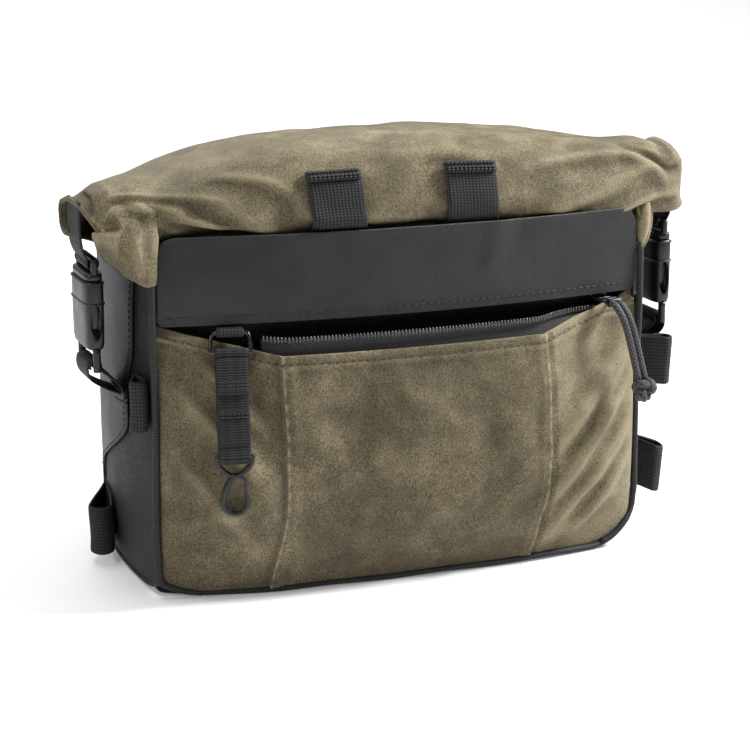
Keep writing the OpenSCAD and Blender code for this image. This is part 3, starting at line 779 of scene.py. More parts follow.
POCKET_FOLDS = [
    # (where it starts, where it ends), height, width
    ([(121, 118), (70, 52)], 3.4, 4.6), ([(122, 96), (68, 26)], 4.2, 4.4), ([(122, 74), (70, 6)], 3.8, 4.2),
    ([(123, 54), (84, 4)], 3.0, 3.8), ([(122, 108), (92, 62)], 2.0, 3.4), ([(112, 30), (70, 12)], 1.8, 4.0),
    ([(64, 104), (14, 30)], 1.5, 7.0), ([(62, 64), (22, 4)], 1.8, 6.0), ([(-66, 96), (-24, 36)], 1.4, 8.0),
    ([(-20, 112), (26, 58)], 1.1, 9.0), ([(-120, 108), (-70, 40)], 3.4, 5.8),
    ([(-121, 80), (-78, 16)], 2.8, 5.2), ([(-112, 118), (-72, 76)], 1.9, 4.6),
    ([(-62, 26), (44, 40)], 1.2, 8.0), ([(-119, 32), (-74, 46)], 1.6, 5.0),
    ([(-100, 112), (-84, 70)], 1.4, 5.0), ([(-64, 60), (-10, 8)], 1.2, 7.0),
]


def foot_z(x):
    """The pocket's lower edge, lifted where its corners are rounded."""
    reach = max(0.0, abs(x) - 98) / 24.5
    return 1.4 + (15 if x > 0 else 5) * reach ** 2.2


def lip_top(x):
    """The canvas edge below the zip; at both ends it runs up behind the storm flap."""
    rise = lip_rise(x) - 1
    return min(130.6, rise) if x < 0 else min(125.4 + 5 * smooth((x - 111) / 6), rise)


def seam_lean(x, z):
    """How far the seams turn to the left as they run down to the base."""
    return 5.0 * smooth((46 - z) / 46) * smooth((HALF_W - abs(x)) / 26)


def pocket_pt(x, z, share):
    """A point of the pocket's outer face; share is the height as a part of the lip's."""
    y = pocket_y(x, z)
    fade = smooth((HALF_W - abs(x)) / 14) * smooth(share / 0.12) * smooth((1 - share) / 0.08)
    y -= fade * sum(fold(x, z, *f) for f in POCKET_FOLDS)
    y -= fade * (1.3 * rough(x, z, 0, 26, 3) + 0.55 * rough(x, z, 0, 9, 5))
    if abs(x) < SEAM_X + 1:
        band = smooth((abs(x) - SEAM_X + 7) / 1.5)
        y -= 0.7 * band + 0.35 - 0.45 * hump(abs(x) - SEAM_X + 5.4, 0.8)
        y -= 0.3 * hump(abs(x) - SEAM_X, 1.2) * math.sin(z * 0.9)
    y += 2.4 * smooth((z - 124) / 5)
    hem = lip_top(x) - z
    y -= 0.5 * smooth((7.4 - hem) / 1.0) - 0.55 * hump(hem - 4.4, 0.9)
    return Vector((x - seam_lean(x, z), y, z + 0.25 * rough(x, 0, z, 12, 8) * fade))


# Painted light and shade for each pocket panel: the front-facing centre panel darker, the right panel, which
# faces the key light, paler.
PANEL_PAINTED_LIGHT = {"centre": -0.3, "right": 0.5, "left": 0.05}


def pocket_columns(name):
    """Where a panel's columns of points stand, close together along its seams."""
    if name == "centre":
        edge = [SEAM_X + d for d in (-8, -7, -6.2, -5.4, -4.6, -3.4, -2.2, -1.2, -0.5, 0, 0.6)]
        return [-x for x in reversed(edge)] + steps(-57, 57, 70) + edge
    inner = SEAM_X - 0.4
    eased = [inner + (HALF_W - 0.2 - inner) * math.sin(math.pi / 2 * t) for t in steps(0, 1, 44)]
    return eased if name == "right" else [-x for x in reversed(eased)]


def front_pocket():
    shares = [0.0, 0.012] + steps(0.03, 0.93, 56) + [0.942, 0.952, 0.962, 0.974, 0.986, 1.0]
    # tone here is the panel's painted light and shade
    for name, tone in PANEL_PAINTED_LIGHT.items():
        def point(x, s):
            tucked = 0.5 if name != "centre" and abs(x) < SEAM_X + 2 else 0.0
            return pocket_pt(x, mix(foot_z(x), lip_top(x), s), s) + Vector((0, tucked, 0))

        def wear_and_painted_light(p):
            seam = abs(p.x + seam_lean(p.x, p.z)) - SEAM_X
            foot = p.z - foot_z(p.x)
            # Each panel's painted light, paler lines on the seams, the lip and the foot edge, a painted
            # shadow just outside each seam where the centre panel's edge stands over the side panel, and a
            # darker band just above the foot.
            return (tone + 0.95 * hump(seam, 0.8) - 0.7 * hump(seam - 2.6,
                                                               1.4) + 0.5 * hump(p.z - lip_top(p.x), 1.2)
                    - 0.35 * hump(foot, 8) + 0.5 * hump(foot - 1, 1.2))

        panel = cloth(f"pocket_{name}_canvas", grid(pocket_columns(name), shares, point), 1.4, CANVAS, "bag",
                      [f"pocket_{name}_panel"], wear_and_painted_light=True)
        add_wear_and_light(panel, wear_and_painted_light)
    lip = [pocket_pt(x, lip_top(x) - 4.4, 0.96) - Vector((0, 0.05, 0)) for x in steps(-119, 119, 160)]
    stitches("pocket_stitching", [(lip, FRONTWARD)], TAN_THREAD, "bag", "waxed_canvas", length=2.2, gap=1.5,
             radius=0.32)


def lower_teeth_pt(x):
    return Vector((x, pocket_y(x, lip_z(x)) + 2.4, min(123.2, lip_z(x) + 5.6)))


def zip_coil(name, line, nodes, count=104):
    """Zip teeth: a coil of small loops along a line."""
    parts = []
    path = curve_through(line, count)
    for at, after in zip(path, path[1:]):
        way = (after - at).normalized()
        out = FRONTWARD
        side = way.cross(out).normalized()
        loop = [at + way * 0.1 - side * 1.3, at + way * 0.05 + out * 0.75 - side * 0.9,
                at + out * 1.05, at + way * 0.1 + out * 0.8 + side * 1.05, at + way * 0.5 + side * 1.45,
                at + way * 0.8 - out * 0.2 + side * 0.6]
        parts.append(tube_data(loop, 0.52, 6))
    verts, faces, uvs = joined(parts)
    subdivide(piece(name, verts, faces, TEETH, "bag", nodes, uvs), 1)


def zip_halves():
    """The open zip: the lower half follows the pocket's lip, the upper half hides behind the flap."""
    rows = []
    for x in steps(-75, 101, 60):
        top = lower_teeth_pt(x)
        z = lip_z(x)
        behind = pocket_y(x, z) + 2.2
        rows.append([Vector((x, pocket_y(x, z - 7) + 2.2, z - 7)),
                     Vector((x, pocket_y(x, z - 3) + 2.0, z - 3)),
                     Vector((x, mix(behind, top.y + 0.2, 0.5), z + 0.8)),
                     Vector((x, top.y + 0.3, top.z - 1.4)), Vector((x, top.y + 0.4, top.z + 0.1))])
    cloth("zip_tape_lower", rows, 0.7, BINDING, "bag", ["lower_zip_tape"])
    line = [lower_teeth_pt(x) + FRONTWARD * 0.5 for x in steps(-74, 100, 30)]
    zip_coil("zip_teeth_lower", line, ["lower_zip_teeth"])
    turn, shift = math.asin(UPPER_ZIP_HALF / CHAIN_R), math.radians(UPPER_ZIP_TURN)
    upper = [Vector((CHAIN_R * math.sin(a + shift), ARC_CY - CHAIN_R * math.cos(a + shift), 0))
             for a in steps(-turn, turn, 30)]
    zip_coil("zip_teeth_upper", [p + Vector((0, 0, 134)) for p in upper], ["upper_zip_teeth"])
    rows = grid(upper, (134.6, 139, 143, 147), lambda p, z: p + Vector((0, 0.2, z)))
    cloth("zip_tape_upper", rows, 0.7, BINDING, "bag", ["upper_zip_tape"])


front_pocket()
zip_halves()


# ---- nylon body ----
def gusset_x(sign, y, z):
    """How far out a side wall stands, with its slack."""
    sag = 0.5 * rough(y, z, sign * 20, 30, 2) + 0.3 * rough(y, z, sign * 20, 12, 4)
    return side_x(y, z) + sag * smooth((y + HALF_D) / 8) * smooth((HALF_D - y) / 8)


def gusset_low(sign, y):
    """A side wall's lower edge, lifted at the front where the foot's corner is rounded."""
    return 1.0 + (15 if sign > 0 else 4) * smooth((-y - 26) / 24) ** 2


def gussets():
    for sign, side in SIDES:
        rows = []
        for y in [-HALF_D] + steps(-HALF_D + 1.5, HALF_D, 40):
            column = []
            for z in steps(gusset_low(sign, y), NYLON_TOP, 52):
                corner = 2.4 * (1 - math.sqrt(max(0.0, 1 - max(0.0, (4 - z) / 4) ** 2)))
                column.append(Vector((sign * (gusset_x(sign, y, z) - corner), y, z)))
            rows.append(column)
        cloth(f"gusset_{side}", rows, 1.4, NYLON, "bag", [f"{side}_side_panel"])


def back_and_front_walls():
    rows = grid(steps(-HALF_W + 0.5, HALF_W - 0.5, 40), steps(1, NYLON_TOP, 30),
                lambda x, z: Vector((x, HALF_D - 0.4 + 0.5 * rough(x, z, 0, 40, 6), z)))
    cloth("back_nylon", rows, 1.4, NYLON, "bag", ["back_panel"])
    rows = grid(steps(-120.4, 120.4, 48), steps(2, NYLON_TOP, 30),
                lambda x, z: Vector((x, arc_y(x, WALL_R - 0.6) + 0.4 * rough(x, z, 0, 30, 9), z)))
    cloth("front_wall_lining", rows, 1.2, LINING, "bag", ["front_panel"])


def base():
    def nylon(x, t):
        y = mix(pocket_y(x, 2) + 0.8 + 0.9 * (foot_z(x) - 1.4), HALF_D - 0.8, t)
        return Vector((x, y, 0.9 + 0.15 * rough(x, 60 * t, 0, 25, 4)))

    rows = grid(steps(-HALF_W + 0.4, HALF_W - 0.4, 60), steps(0, 1, 24), nylon)
    cloth("base_nylon", rows, 1.2, NYLON, "bag", ["bottom_panel"], side=0.0)
    rows = grid(steps(-108, 108, 24), steps(-34, 44, 12),
                lambda x, y: Vector((x, y, 3.4 + 0.3 * rough(x, y, 0, 50, 1))))
    cloth("base_board_cover", rows, 1.6, LINING, "bag", ["base_board"], side=0.0)


def bound_edge(name, path, radius, nodes=(), sides=10):
    tube(name, path, radius, BINDING, "bag", "binding", nodes, sides=sides)


def bound_edges():
    """Binding up both front and rear corners and round the foot of the bag."""
    for sign, side in SIDES:
        lift = foot_z(sign * HALF_W)
        path = [Vector((x, pocket_y(x, foot_z(x)) - 0.5, foot_z(x) + 0.5))
                for x in steps(sign * 104, sign * 121, 7)]
        path += [Vector((sign * (HALF_W + 0.6), -51.2, lift + 3)),
                 Vector((sign * (HALF_W + 1.1), -51.4, lift + 9))]
        path += [Vector((sign * (HALF_W + 1.3 + 0.3 * math.sin(z / 17)), -51.5 + 0.3 * math.sin(z / 23), z))
                 for z in steps(28, 152, 16)]
        bound_edge(f"piping_{side}", curve_through(path, 70), 1.75, [f"{side}_piping"], 12)
    for sign, side in SIDES:
        path = [Vector((sign * (HALF_W + 0.2), HALF_D - 0.4, z)) for z in steps(1.6, 157, 40)]
        bound_edge(f"rear_binding_{side}", path, 1.6)
    foot = [Vector((x, pocket_y(x, 2) - 0.4, foot_z(x) + 0.3 + 0.25 * math.sin(x / 9)))
            for x in steps(-106, 106, 70)]
    bound_edge("foot_binding", foot, 1.5)
    for sign, side in SIDES:
        path = [Vector((sign * (side_x(y, 2) - 0.6), y, gusset_low(sign, y) + 0.9))
                for y in steps(-HALF_D, HALF_D, 30)]
        bound_edge(f"foot_binding_{side}", path, 1.3)


def mount_webbing():
    for side, x in WEBBING_AT:
        path = [Vector((x, y, 0.6)) for y in steps(-61.5, HALF_D - 2, 30)]
        path += [Vector((x, HALF_D + 0.6, 1.8)), Vector((x, HALF_D + 1.1, 4))]
        path += [Vector((x, HALF_D + 1.1, z)) for z in steps(10, 140, 24)]
        ribbon(f"mount_webbing_{side}_tape", path, STRAP_W, 1.1, (1, 0, 0), WEBBING, "bag",
               [f"{side}_mount_webbing"])
        lines = [([Vector((x + t, HALF_D + 1.75, z)) for t in steps(-11, 11, 12)], Vector((0, 1, 0)))
                 for z in (22, 24.5, 60, 62.5, 98, 100.5, 134, 136.5)]
        stitches(f"mount_webbing_{side}_tacks", lines, THREAD, "bag", "webbing", length=1.6, gap=0.5,
                 radius=0.35)


def side_patches():
    """Leather on each side, its front edge curving back to the lower loop."""
    for sign, side in SIDES:
        rows, edge = [], []
        for z in steps(34, 150, 44):
            front = mix(45, -25, smooth((z - 34) / 46)) if z < 80 else mix(-25, -30, smooth((z - 96) / 20))
            front = min(front, 44.0)
            rows.append([Vector((sign * (gusset_x(sign, y, z) + 1.2 + 0.15 * rough(y, z, 0, 22, 3)), y, z))
                         for y in steps(front, 45, 20)])
            if z > 38:
                y = min(front + 3.4, 44)
                edge.append(Vector((sign * (gusset_x(sign, y, z) + 1.85), y, z)))
        cloth(f"side_patch_{side}_leather", rows, 1.2, PATCH, "bag", [f"{side}_side_patch"],
              side=0.0, wear_and_painted_light=True)
        second = [p + Vector((0, 3.0, 0)) for p in edge[14:]]
        normal = Vector((sign, -0.15, 0))
        stitches(f"side_patch_{side}_stitching", [(edge, normal), (second, normal)], THREAD, "bag",
                 "black_leather", length=1.9, gap=1.1, radius=0.34)


gussets()
back_and_front_walls()
base()
bound_edges()
mount_webbing()
side_patches()


# ---- canvas collar ----
def collars():
    """The canvas above the nylon: it hangs over the front corners."""
    rows = grid(steps(-119.5, 119.5, 50), steps(150, COLLAR_TOP, 8),
                lambda x, z: Vector((x, arc_y(x, WALL_R - 0.3) + 0.5 * rough(x, z, 0, 20, 5), z)))
    cloth("collar_front_canvas", rows, 1.4, CANVAS, "bag", ["front_collar"], wear_and_painted_light=True)
    rows = []
    for x in steps(-HALF_W - 0.6, HALF_W + 0.6, 50):
        top = 188 - 17 * smooth((abs(x) - 88) / 30)
        rows.append([Vector((x, HALF_D - 0.2 + 0.5 * rough(x, z, 0, 24, 7), z)) for z in steps(154, top, 14)])
    cloth("collar_back_canvas", rows, 1.4, CANVAS, "bag", ["back_collar"], wear_and_painted_light=True)
    for sign, side in SIDES:
        rows = []
        for y in steps(-50.6, HALF_D + 0.2, 44):
            hang = smooth((y + 22) / -26)
            low = 157 - 4 * hang + 0.7 * math.sin(y / 3.1) * hang
            out = 1.4 + 1.6 * hang * smooth((-30 - y) / 18)
            column = []
            for z in steps(low, COLLAR_TOP + 0.4, 9):
                wave = 0.9 * math.sin(y / 4.0 + z / 9) * smooth((COLLAR_TOP - z) / 8) * smooth((y + 50) / 5)
                lean = 2.2 * smooth((z - 160) / 12)
                wave *= smooth((HALF_D - y) / 6)
                column.append(Vector((sign * (side_x(max(y, -49), 160) + out + wave - lean), y, z)))
            rows.append(column)
        cloth(f"collar_{side}_canvas", rows, 1.4, CANVAS, "bag", [f"{side}_collar"],
              wear_and_painted_light=True)


collars()


def hinge_canvas():
    """The canvas that joins the back collar to the roll."""
    rows = []
    for x in steps(-101, 101, 60):
        ease = 6.0 * (x / 101) ** 2 + 5 * smooth((-x - 66) / 30)
        line = curve_through([(x, 49.4, 176), (x, 49.6, 186 - 0.6 * ease), (x, 48, 191 - ease),
                              (x, 44, 195 - ease), (x, 37.5, 196 - ease)], 24)
        rows.append([p + Vector((0, 0.4 * rough(x, p.z, 0, 16, 2), 0.3 * rough(x, p.z, 5, 12, 4)))
                     for p in line])
    verts, faces, uvs = grid_data(rows)
    obj = piece("roll_hinge_canvas", verts, faces, CANVAS, None, (), uvs)
    ridge_attribute(obj.data)
    thicken(obj, 1.2, 0.0)
    subdivide(obj, 1)
    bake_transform(obj)


hinge_canvas()


# ---- storm flap ----
def flap_pt(x, z, out=0.0):
    """A point of the flap's face, with its slack and the line its stitches sink."""
    soft = 1.1 * rough(x, z, 0, 42, 4) + 0.35 * rough(x, z, 0, 15, 6)
    soft += 1.6 * math.sin(math.pi * (z - FLAP_LOW) / 42)
    soft += 1.5 * hump(x - 38 - (z - 148) * 0.3, 6) * smooth((z - 140) / 14)
    soft += 1.1 * hump(x + 52 + (z - 148) * 0.5, 7) * smooth((z - 146) / 12)
    soft -= 0.5 * hump(z - SEWN_Z, 0.9)
    return Vector((x, arc_y(x, FLAP_R) - soft * smooth((z - 131) / 6) * 0.8 - out - 0.2, z))


def storm_flap():
    """Leather over the zip, sewn on under the roll and stitched along its lower edge."""
    def corner(radius, past):
        """How much a rounded corner takes off the flap's half width, past its start."""
        return radius * (1 - math.sqrt(max(0.0, 1 - (past / radius) ** 2))) if past > 0 else 0.0

    top_r, low_r = 9.0, 3.5
    rows = []
    for z in [130.0, 130.5, 131.4] + steps(132.4, 158, 22) + steps(159, FLAP_TOP, 14):
        half = FLAP_HALF - corner(top_r, z - FLAP_TOP + top_r) - corner(low_r, FLAP_LOW + low_r - z)
        shares = [-1, -0.994, -0.985] + steps(-0.97, 0.97, 90) + [0.985, 0.994, 1]
        rows.append([flap_pt(half * t, z) for t in shares])
    verts, faces, uvs = grid_data(rows)
    obj = piece("storm_flap_leather", verts, faces, LEATHER, None, ["flap"], uvs)
    ridge_attribute(obj.data)
    thicken(obj, 1.5, -1.0)
    subdivide(obj, 1)
    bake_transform(obj)
    line = [flap_pt(x, SEWN_Z, 0.1) for x in steps(-118.5, 118.5, 120)]
    stitches("storm_flap_stitching", [(line, FRONTWARD)], THREAD, "flap", "black_leather",
             length=2.5, gap=1.4, radius=0.36)


storm_flap()


# ---- zip slider ----
def slider_block(x0, x1, r0, r1, z0, z1, bevel=0.35):
    """A box with chamfered edges in the slider's frame."""
    work = bmesh.new()
    bmesh.ops.create_cube(work, size=1)
    for v in work.verts:
        v.co = Vector((mix(x0, x1, v.co.x + 0.5), mix(r0, r1, v.co.y + 0.5), mix(z0, z1, v.co.z + 0.5)))
    bmesh.ops.bevel(work, geom=work.edges[:], offset=bevel, segments=2, affect="EDGES", profile=0.6)
    verts = [slider_pt(v.co.x, v.co.y, v.co.z) for v in work.verts]
    faces = [tuple(v.index for v in f.verts) for f in work.faces]
    work.free()
    return verts, faces, [(0.0, 0.0)] * len(verts)


def zip_slider():
    """The enamelled slider with its bridge, and the moulded clip that carries the cord."""
    parts = [slider_block(-5.5, 5.5, 585.4, 586, 128.5, 138.5, 0.25),
             slider_block(-5.5, 5.5, 588.2, 589.2, 131.2, 138.5),
             slider_block(-2, 2, 586, 588.2, 130.2, 132),
             slider_block(-4.6, 4.6, 588.2, 595, 126.3, 127.9, 0.4),
             slider_block(-4.6, 4.6, 588.2, 590.4, 127, 131.2, 0.4),
             slider_block(-4.6, -3.4, 594, 600.8, 126.3, 127.9),
             slider_block(3.4, 4.6, 594, 600.8, 126.3, 127.9),
             tube_data([slider_pt(x, PULL_BAR_R, PULL_BAR_Z) for x in steps(-4.2, 4.2, 6)], 0.7, 12)]
    verts, faces, uvs = joined(parts)
    obj = piece("slider_enamelled", verts, faces, ENAMEL, "zip_slider", ["zip_slider"], uvs)
    fix_normals(obj)
    parts = [tube_data([slider_pt(x, PULL_BAR_R, PULL_BAR_Z) for x in steps(-3.1, 3.1, 6)], 1.65, 16),
             slider_block(-3.1, 3.1, 600.6, 602.4, 125.6, 127.6, 0.5),
             slider_block(-3.8, 3.8, 601.6, 604.4, 124.6, 128.6, 0.8)]
    verts, faces, uvs = joined(parts)
    fix_normals(piece("pull_clip_moulded", verts, faces, PLASTIC, "zip_pull", ["pull_clip"],
                      uvs))


zip_slider()


# ---- leash ----
RING_TOP, RING_LOW = Vector((0, -58.6, 126.9)), Vector((0, -61.6, 118.2))
HOOK_BAR = Vector((0, -74.6, 71.5))
GATE = [Vector((4.4, -74.6, 62.2)), Vector((4.9, -74.6, 59)), Vector((5.1, -74.6, 55.4)),
        Vector((5.0, -74.6, 51.9))]


def leash():
    """The tab, the wire ring, the folded webbing and the moulded hook with its gate."""
    across = leash_pt(1, -62, 0) - leash_pt(0, -62, 0)

    def lay(points):
        return [leash_pt(*p) for p in points]

    # tab on the front wall that carries the ring
    path = [Vector((0, -46.6, 148)), Vector((0, -46.8, 140)), Vector((0, -47.2, 134)),
            Vector((0, -49.8, 130.2)),
            Vector((0, -54, 128.6))]
    path += [RING_TOP + Vector((0, math.cos(math.radians(a)), math.sin(math.radians(a)))) * 1.65
             for a in steps(80, 380, 14)]
    ribbon("leash_tab_webbing", lay(path), 12.6, 1.0, across, WEBBING, "bag", ["leash_tab"],
           levels=2)

    # bent wire ring, narrower at its top
    loop = [(-7.0, RING_TOP), (0, RING_TOP), (7.0, RING_TOP), (8.6, RING_TOP.lerp(RING_LOW, 0.14)),
            (9.0, RING_TOP.lerp(RING_LOW, 0.5)), (9.3, RING_TOP.lerp(RING_LOW, 0.88)), (8.2, RING_LOW),
            (0, RING_LOW), (-8.2, RING_LOW), (-9.3, RING_TOP.lerp(RING_LOW, 0.88)),
            (-9.0, RING_TOP.lerp(RING_LOW, 0.5)), (-8.6, RING_TOP.lerp(RING_LOW, 0.14))]
    points = lay([(x, p.y, p.z) for x, p in loop])
    around = curve_through(points + points[:1], 72)[:-1]
    tube("leash_ring_wire", around, 0.95, STEEL, "leash_ring", "ring_steel", ["leash_ring"], sides=12,
         closed=True)

    # webbing folded round the ring and the hook's bar, front and back layers
    down = (HOOK_BAR - RING_LOW).normalized()
    out = Vector((0, down.z, -down.y))
    if out.y > 0:
        out = -out
    front = [RING_LOW + out * 1.55 + down * t for t in steps(3, 43, 12)]
    back = [RING_LOW - out * 0.1 + down * t for t in steps(43, 3, 12)]
    low_turn = [HOOK_BAR + (out * math.cos(a) + down * math.sin(a)) * 2.3
                for a in steps(-0.3, math.pi + 0.2, 12)]
    top_turn = [RING_LOW + (-out * math.cos(a) - down * math.sin(a)) * 1.75
                for a in steps(-0.2, math.pi + 0.2, 12)]
    ring_path = front + low_turn + back + top_turn
    rows = ribbon_rows(lay(ring_path + ring_path[:1]), 15.3, across)
    cloth("leash_webbing_loop", rows, 1.15, LEASH_TAPE, "leash", ["leash_webbing"], side=0.0)
    flap_line = [RING_LOW + out * (2.5 + 0.35 * hump(t - 17, 4)) + down * t for t in steps(2.5, 20, 12)]
    ribbon("leash_webbing_fold", lay(flap_line), 15.1, 1.0, across, LEASH_TAPE, "leash")
    tail_line = [RING_LOW + out * 2.4 + down * t for t in steps(26, 43, 10)]
    ribbon("leash_webbing_tail", lay(tail_line), 15.1, 0.9, across, LEASH_TAPE, "leash")
    lines = []
    normal = leash_pt(0, -63, 0) - leash_pt(0, -62, 0)
    for t in (13.6, 15.2, 16.8, 28.2, 29.8):
        row = [RING_LOW + out * 3.05 + down * t + Vector((x, 0, 0)) for x in steps(-6.4, 6.4, 10)]
        lines.append((lay(row), normal))
    stitches("leash_bar_tacks", lines, THREAD, "leash", "webbing", length=1.5, gap=0.3, radius=0.4)

    # moulded hook: a yoke round the webbing, a neck and a long J
    yoke = [(-8.1, 72.9), (-8.1, 70.6), (-7.2, 68.2), (-4.6, 65.2), (-2.2, 63.6), (0, 63.2), (2.2, 63.6),
            (4.6, 65.2),
            (7.2, 68.2), (8.1, 70.6), (8.1, 72.9)]
    j = [(0.4, 63.8), (-1.2, 62), (-3.2, 59.4), (-4.4, 56.4), (-5.4, 53)]
    j += arc_points(0, 50.7, 5.7, 170, 370, 14)
    j += [(5.7, 53.4)]
    flat = Vector((0, HOOK_BAR.y, 0))
    up = leash_pt(0, -63, 0) - leash_pt(0, -62, 0)

    def line(pairs, count):
        return curve_through(lay([flat + Vector((x, 0, z)) for x, z in pairs]), count)

    parts = [tube_data(line(yoke, 40), 1.3, 12, up=up),
             tube_data(line(j, 60), lambda t: 1.75 - 0.45 * smooth(t * 2.2), 12, up=up),
             tube_data(lay([HOOK_BAR + Vector((x, 0, 0)) for x in steps(-9.2, 9.2, 8)]), 1.5, 12),
             tube_data(lay([flat + Vector((0.8, 0, 63.2)), flat + Vector((3.1, 0, 62.5)),
                            flat + Vector((4.3, 0, 62.9))]), 1.2, 12, up=up)]
    for side in (-1, 1):
        parts.append(tube_data(lay([HOOK_BAR + Vector((side * 8.1, 0, z)) for z in (1.9, 0.8, -0.4)]), 1.45,
                               12))
    verts, faces, uvs = joined(parts)
    hook = piece("leash_hook_moulded", verts, faces, PLASTIC, "leash_hook",
                 ["leash_hook"], uvs)
    fix_normals(hook)
    subdivide(hook, 1)
    ribbon("hook_gate_tongue", curve_through(lay(GATE), 14), 2.0, 1.4, up, PLASTIC, "hook_gate",
           ["hook_gate"], across=2)


leash()


# ---- webbing loops on the sides ----
def side_loop(name, root, tip, r, z, tilt=0.0, node=None, sag=0.0):
    """A sewn loop of webbing, seen from above as a teardrop; its upper edge leans out by tilt."""
    root, tip = Vector((*root, 0)), Vector((*tip, 0))
    way = (tip - root).normalized()
    side = Vector((-way.y, way.x, 0))
    length = (tip - root).length
    r -= STRAP_T / 2
    outline = [(0.2, 0.35), (length * 0.3, r * 0.34), (length * 0.55, r * 0.68)]
    outline += arc_points(length - STRAP_T / 2 - r, 0, r, 78, -78, 12)
    outline += [(length * 0.55, -r * 0.68), (length * 0.3, -r * 0.34), (0.2, -0.35)]
    path = curve_through([root + way * u + side * v for u, v in outline], 56)
    rows = []
    for i, p in enumerate(path):
        reach = (p - root).dot(way) / length
        rows.append([p + Vector((0, 0, z + STRAP_W * t - sag * reach ** 2)) + way * tilt * (t - 0.5) * reach
                     + side * 0.4 * math.sin(5 * t + 7 * reach) * reach for t in steps(0, 1, 8)])
    cloth(name, rows, STRAP_T, WEBBING, "bag", [node], side=0.0)


side_loop("loop_left_upper_tape", (-128.4, -33.4), (-130.5, -50.5), 4.4, 80.5, 1.0, "left_upper_loop")
side_loop("loop_right_upper_tape", (127.5, -34.8), (149.5, -38.5), 4.9, 78, 1.0, "right_upper_loop", 1.0)
side_loop("loop_left_lower_tape", (-124.9, 41), (-137, 5), 6.2, 7.5, 2.0, "left_lower_loop", 3.0)
side_loop("loop_right_lower_tape", (129.5, -8), (155, -22), 5.3, 20.5, 2.0, "right_lower_loop", 6.5)


# ---- buckles and their straps, drawn on the right and mirrored ----
def rounded_ring(cx, cy, z, half_x, half_y, power=4.0, count=28):
    """A level ring of points, square with round corners."""
    ring = []
    for k in range(count):
        a = 2 * math.pi * k / count
        c, s = math.cos(a), math.sin(a)
        ring.append(Vector((cx + half_x * math.copysign(abs(c) ** (2 / power), c),
                            cy + half_y * math.copysign(abs(s) ** (2 / power), s), z)))
    return ring


def flipped(rings, sign):
    return [[Vector((sign * p.x, p.y, p.z)) for p in ring] for ring in rings]


def cut(obj, cutter):
    """Takes the cutter's shape out of obj and removes the cutter."""
    modifier = obj.modifiers.new("cut", "BOOLEAN")
    modifier.operation = "DIFFERENCE"
    modifier.solver = "EXACT"
    modifier.object = cutter
    bpy.context.view_layer.update()
    graph = bpy.context.evaluated_depsgraph_get()
    mesh = bpy.data.meshes.new_from_object(obj.evaluated_get(graph))
    obj.modifiers.clear()
    obj.data = mesh
    bpy.data.objects.remove(cutter)


def loose(verts, faces):
    """A plain object that cuts others and is no piece itself."""
    mesh = bpy.data.meshes.new("cutter")
    mesh.from_pydata([Vector(v) * MM for v in verts], [], faces)
    obj = bpy.data.objects.new("cutter", mesh)
    bpy.context.scene.collection.objects.link(obj)
    return fix_normals(obj)


def closed_rings(rings):
    verts, faces, _ = grid_data(rings, loop=True)
    m = len(rings[0])
    return verts, faces + [tuple(range(m)), tuple(range((len(rings) - 1) * m, len(rings) * m))]


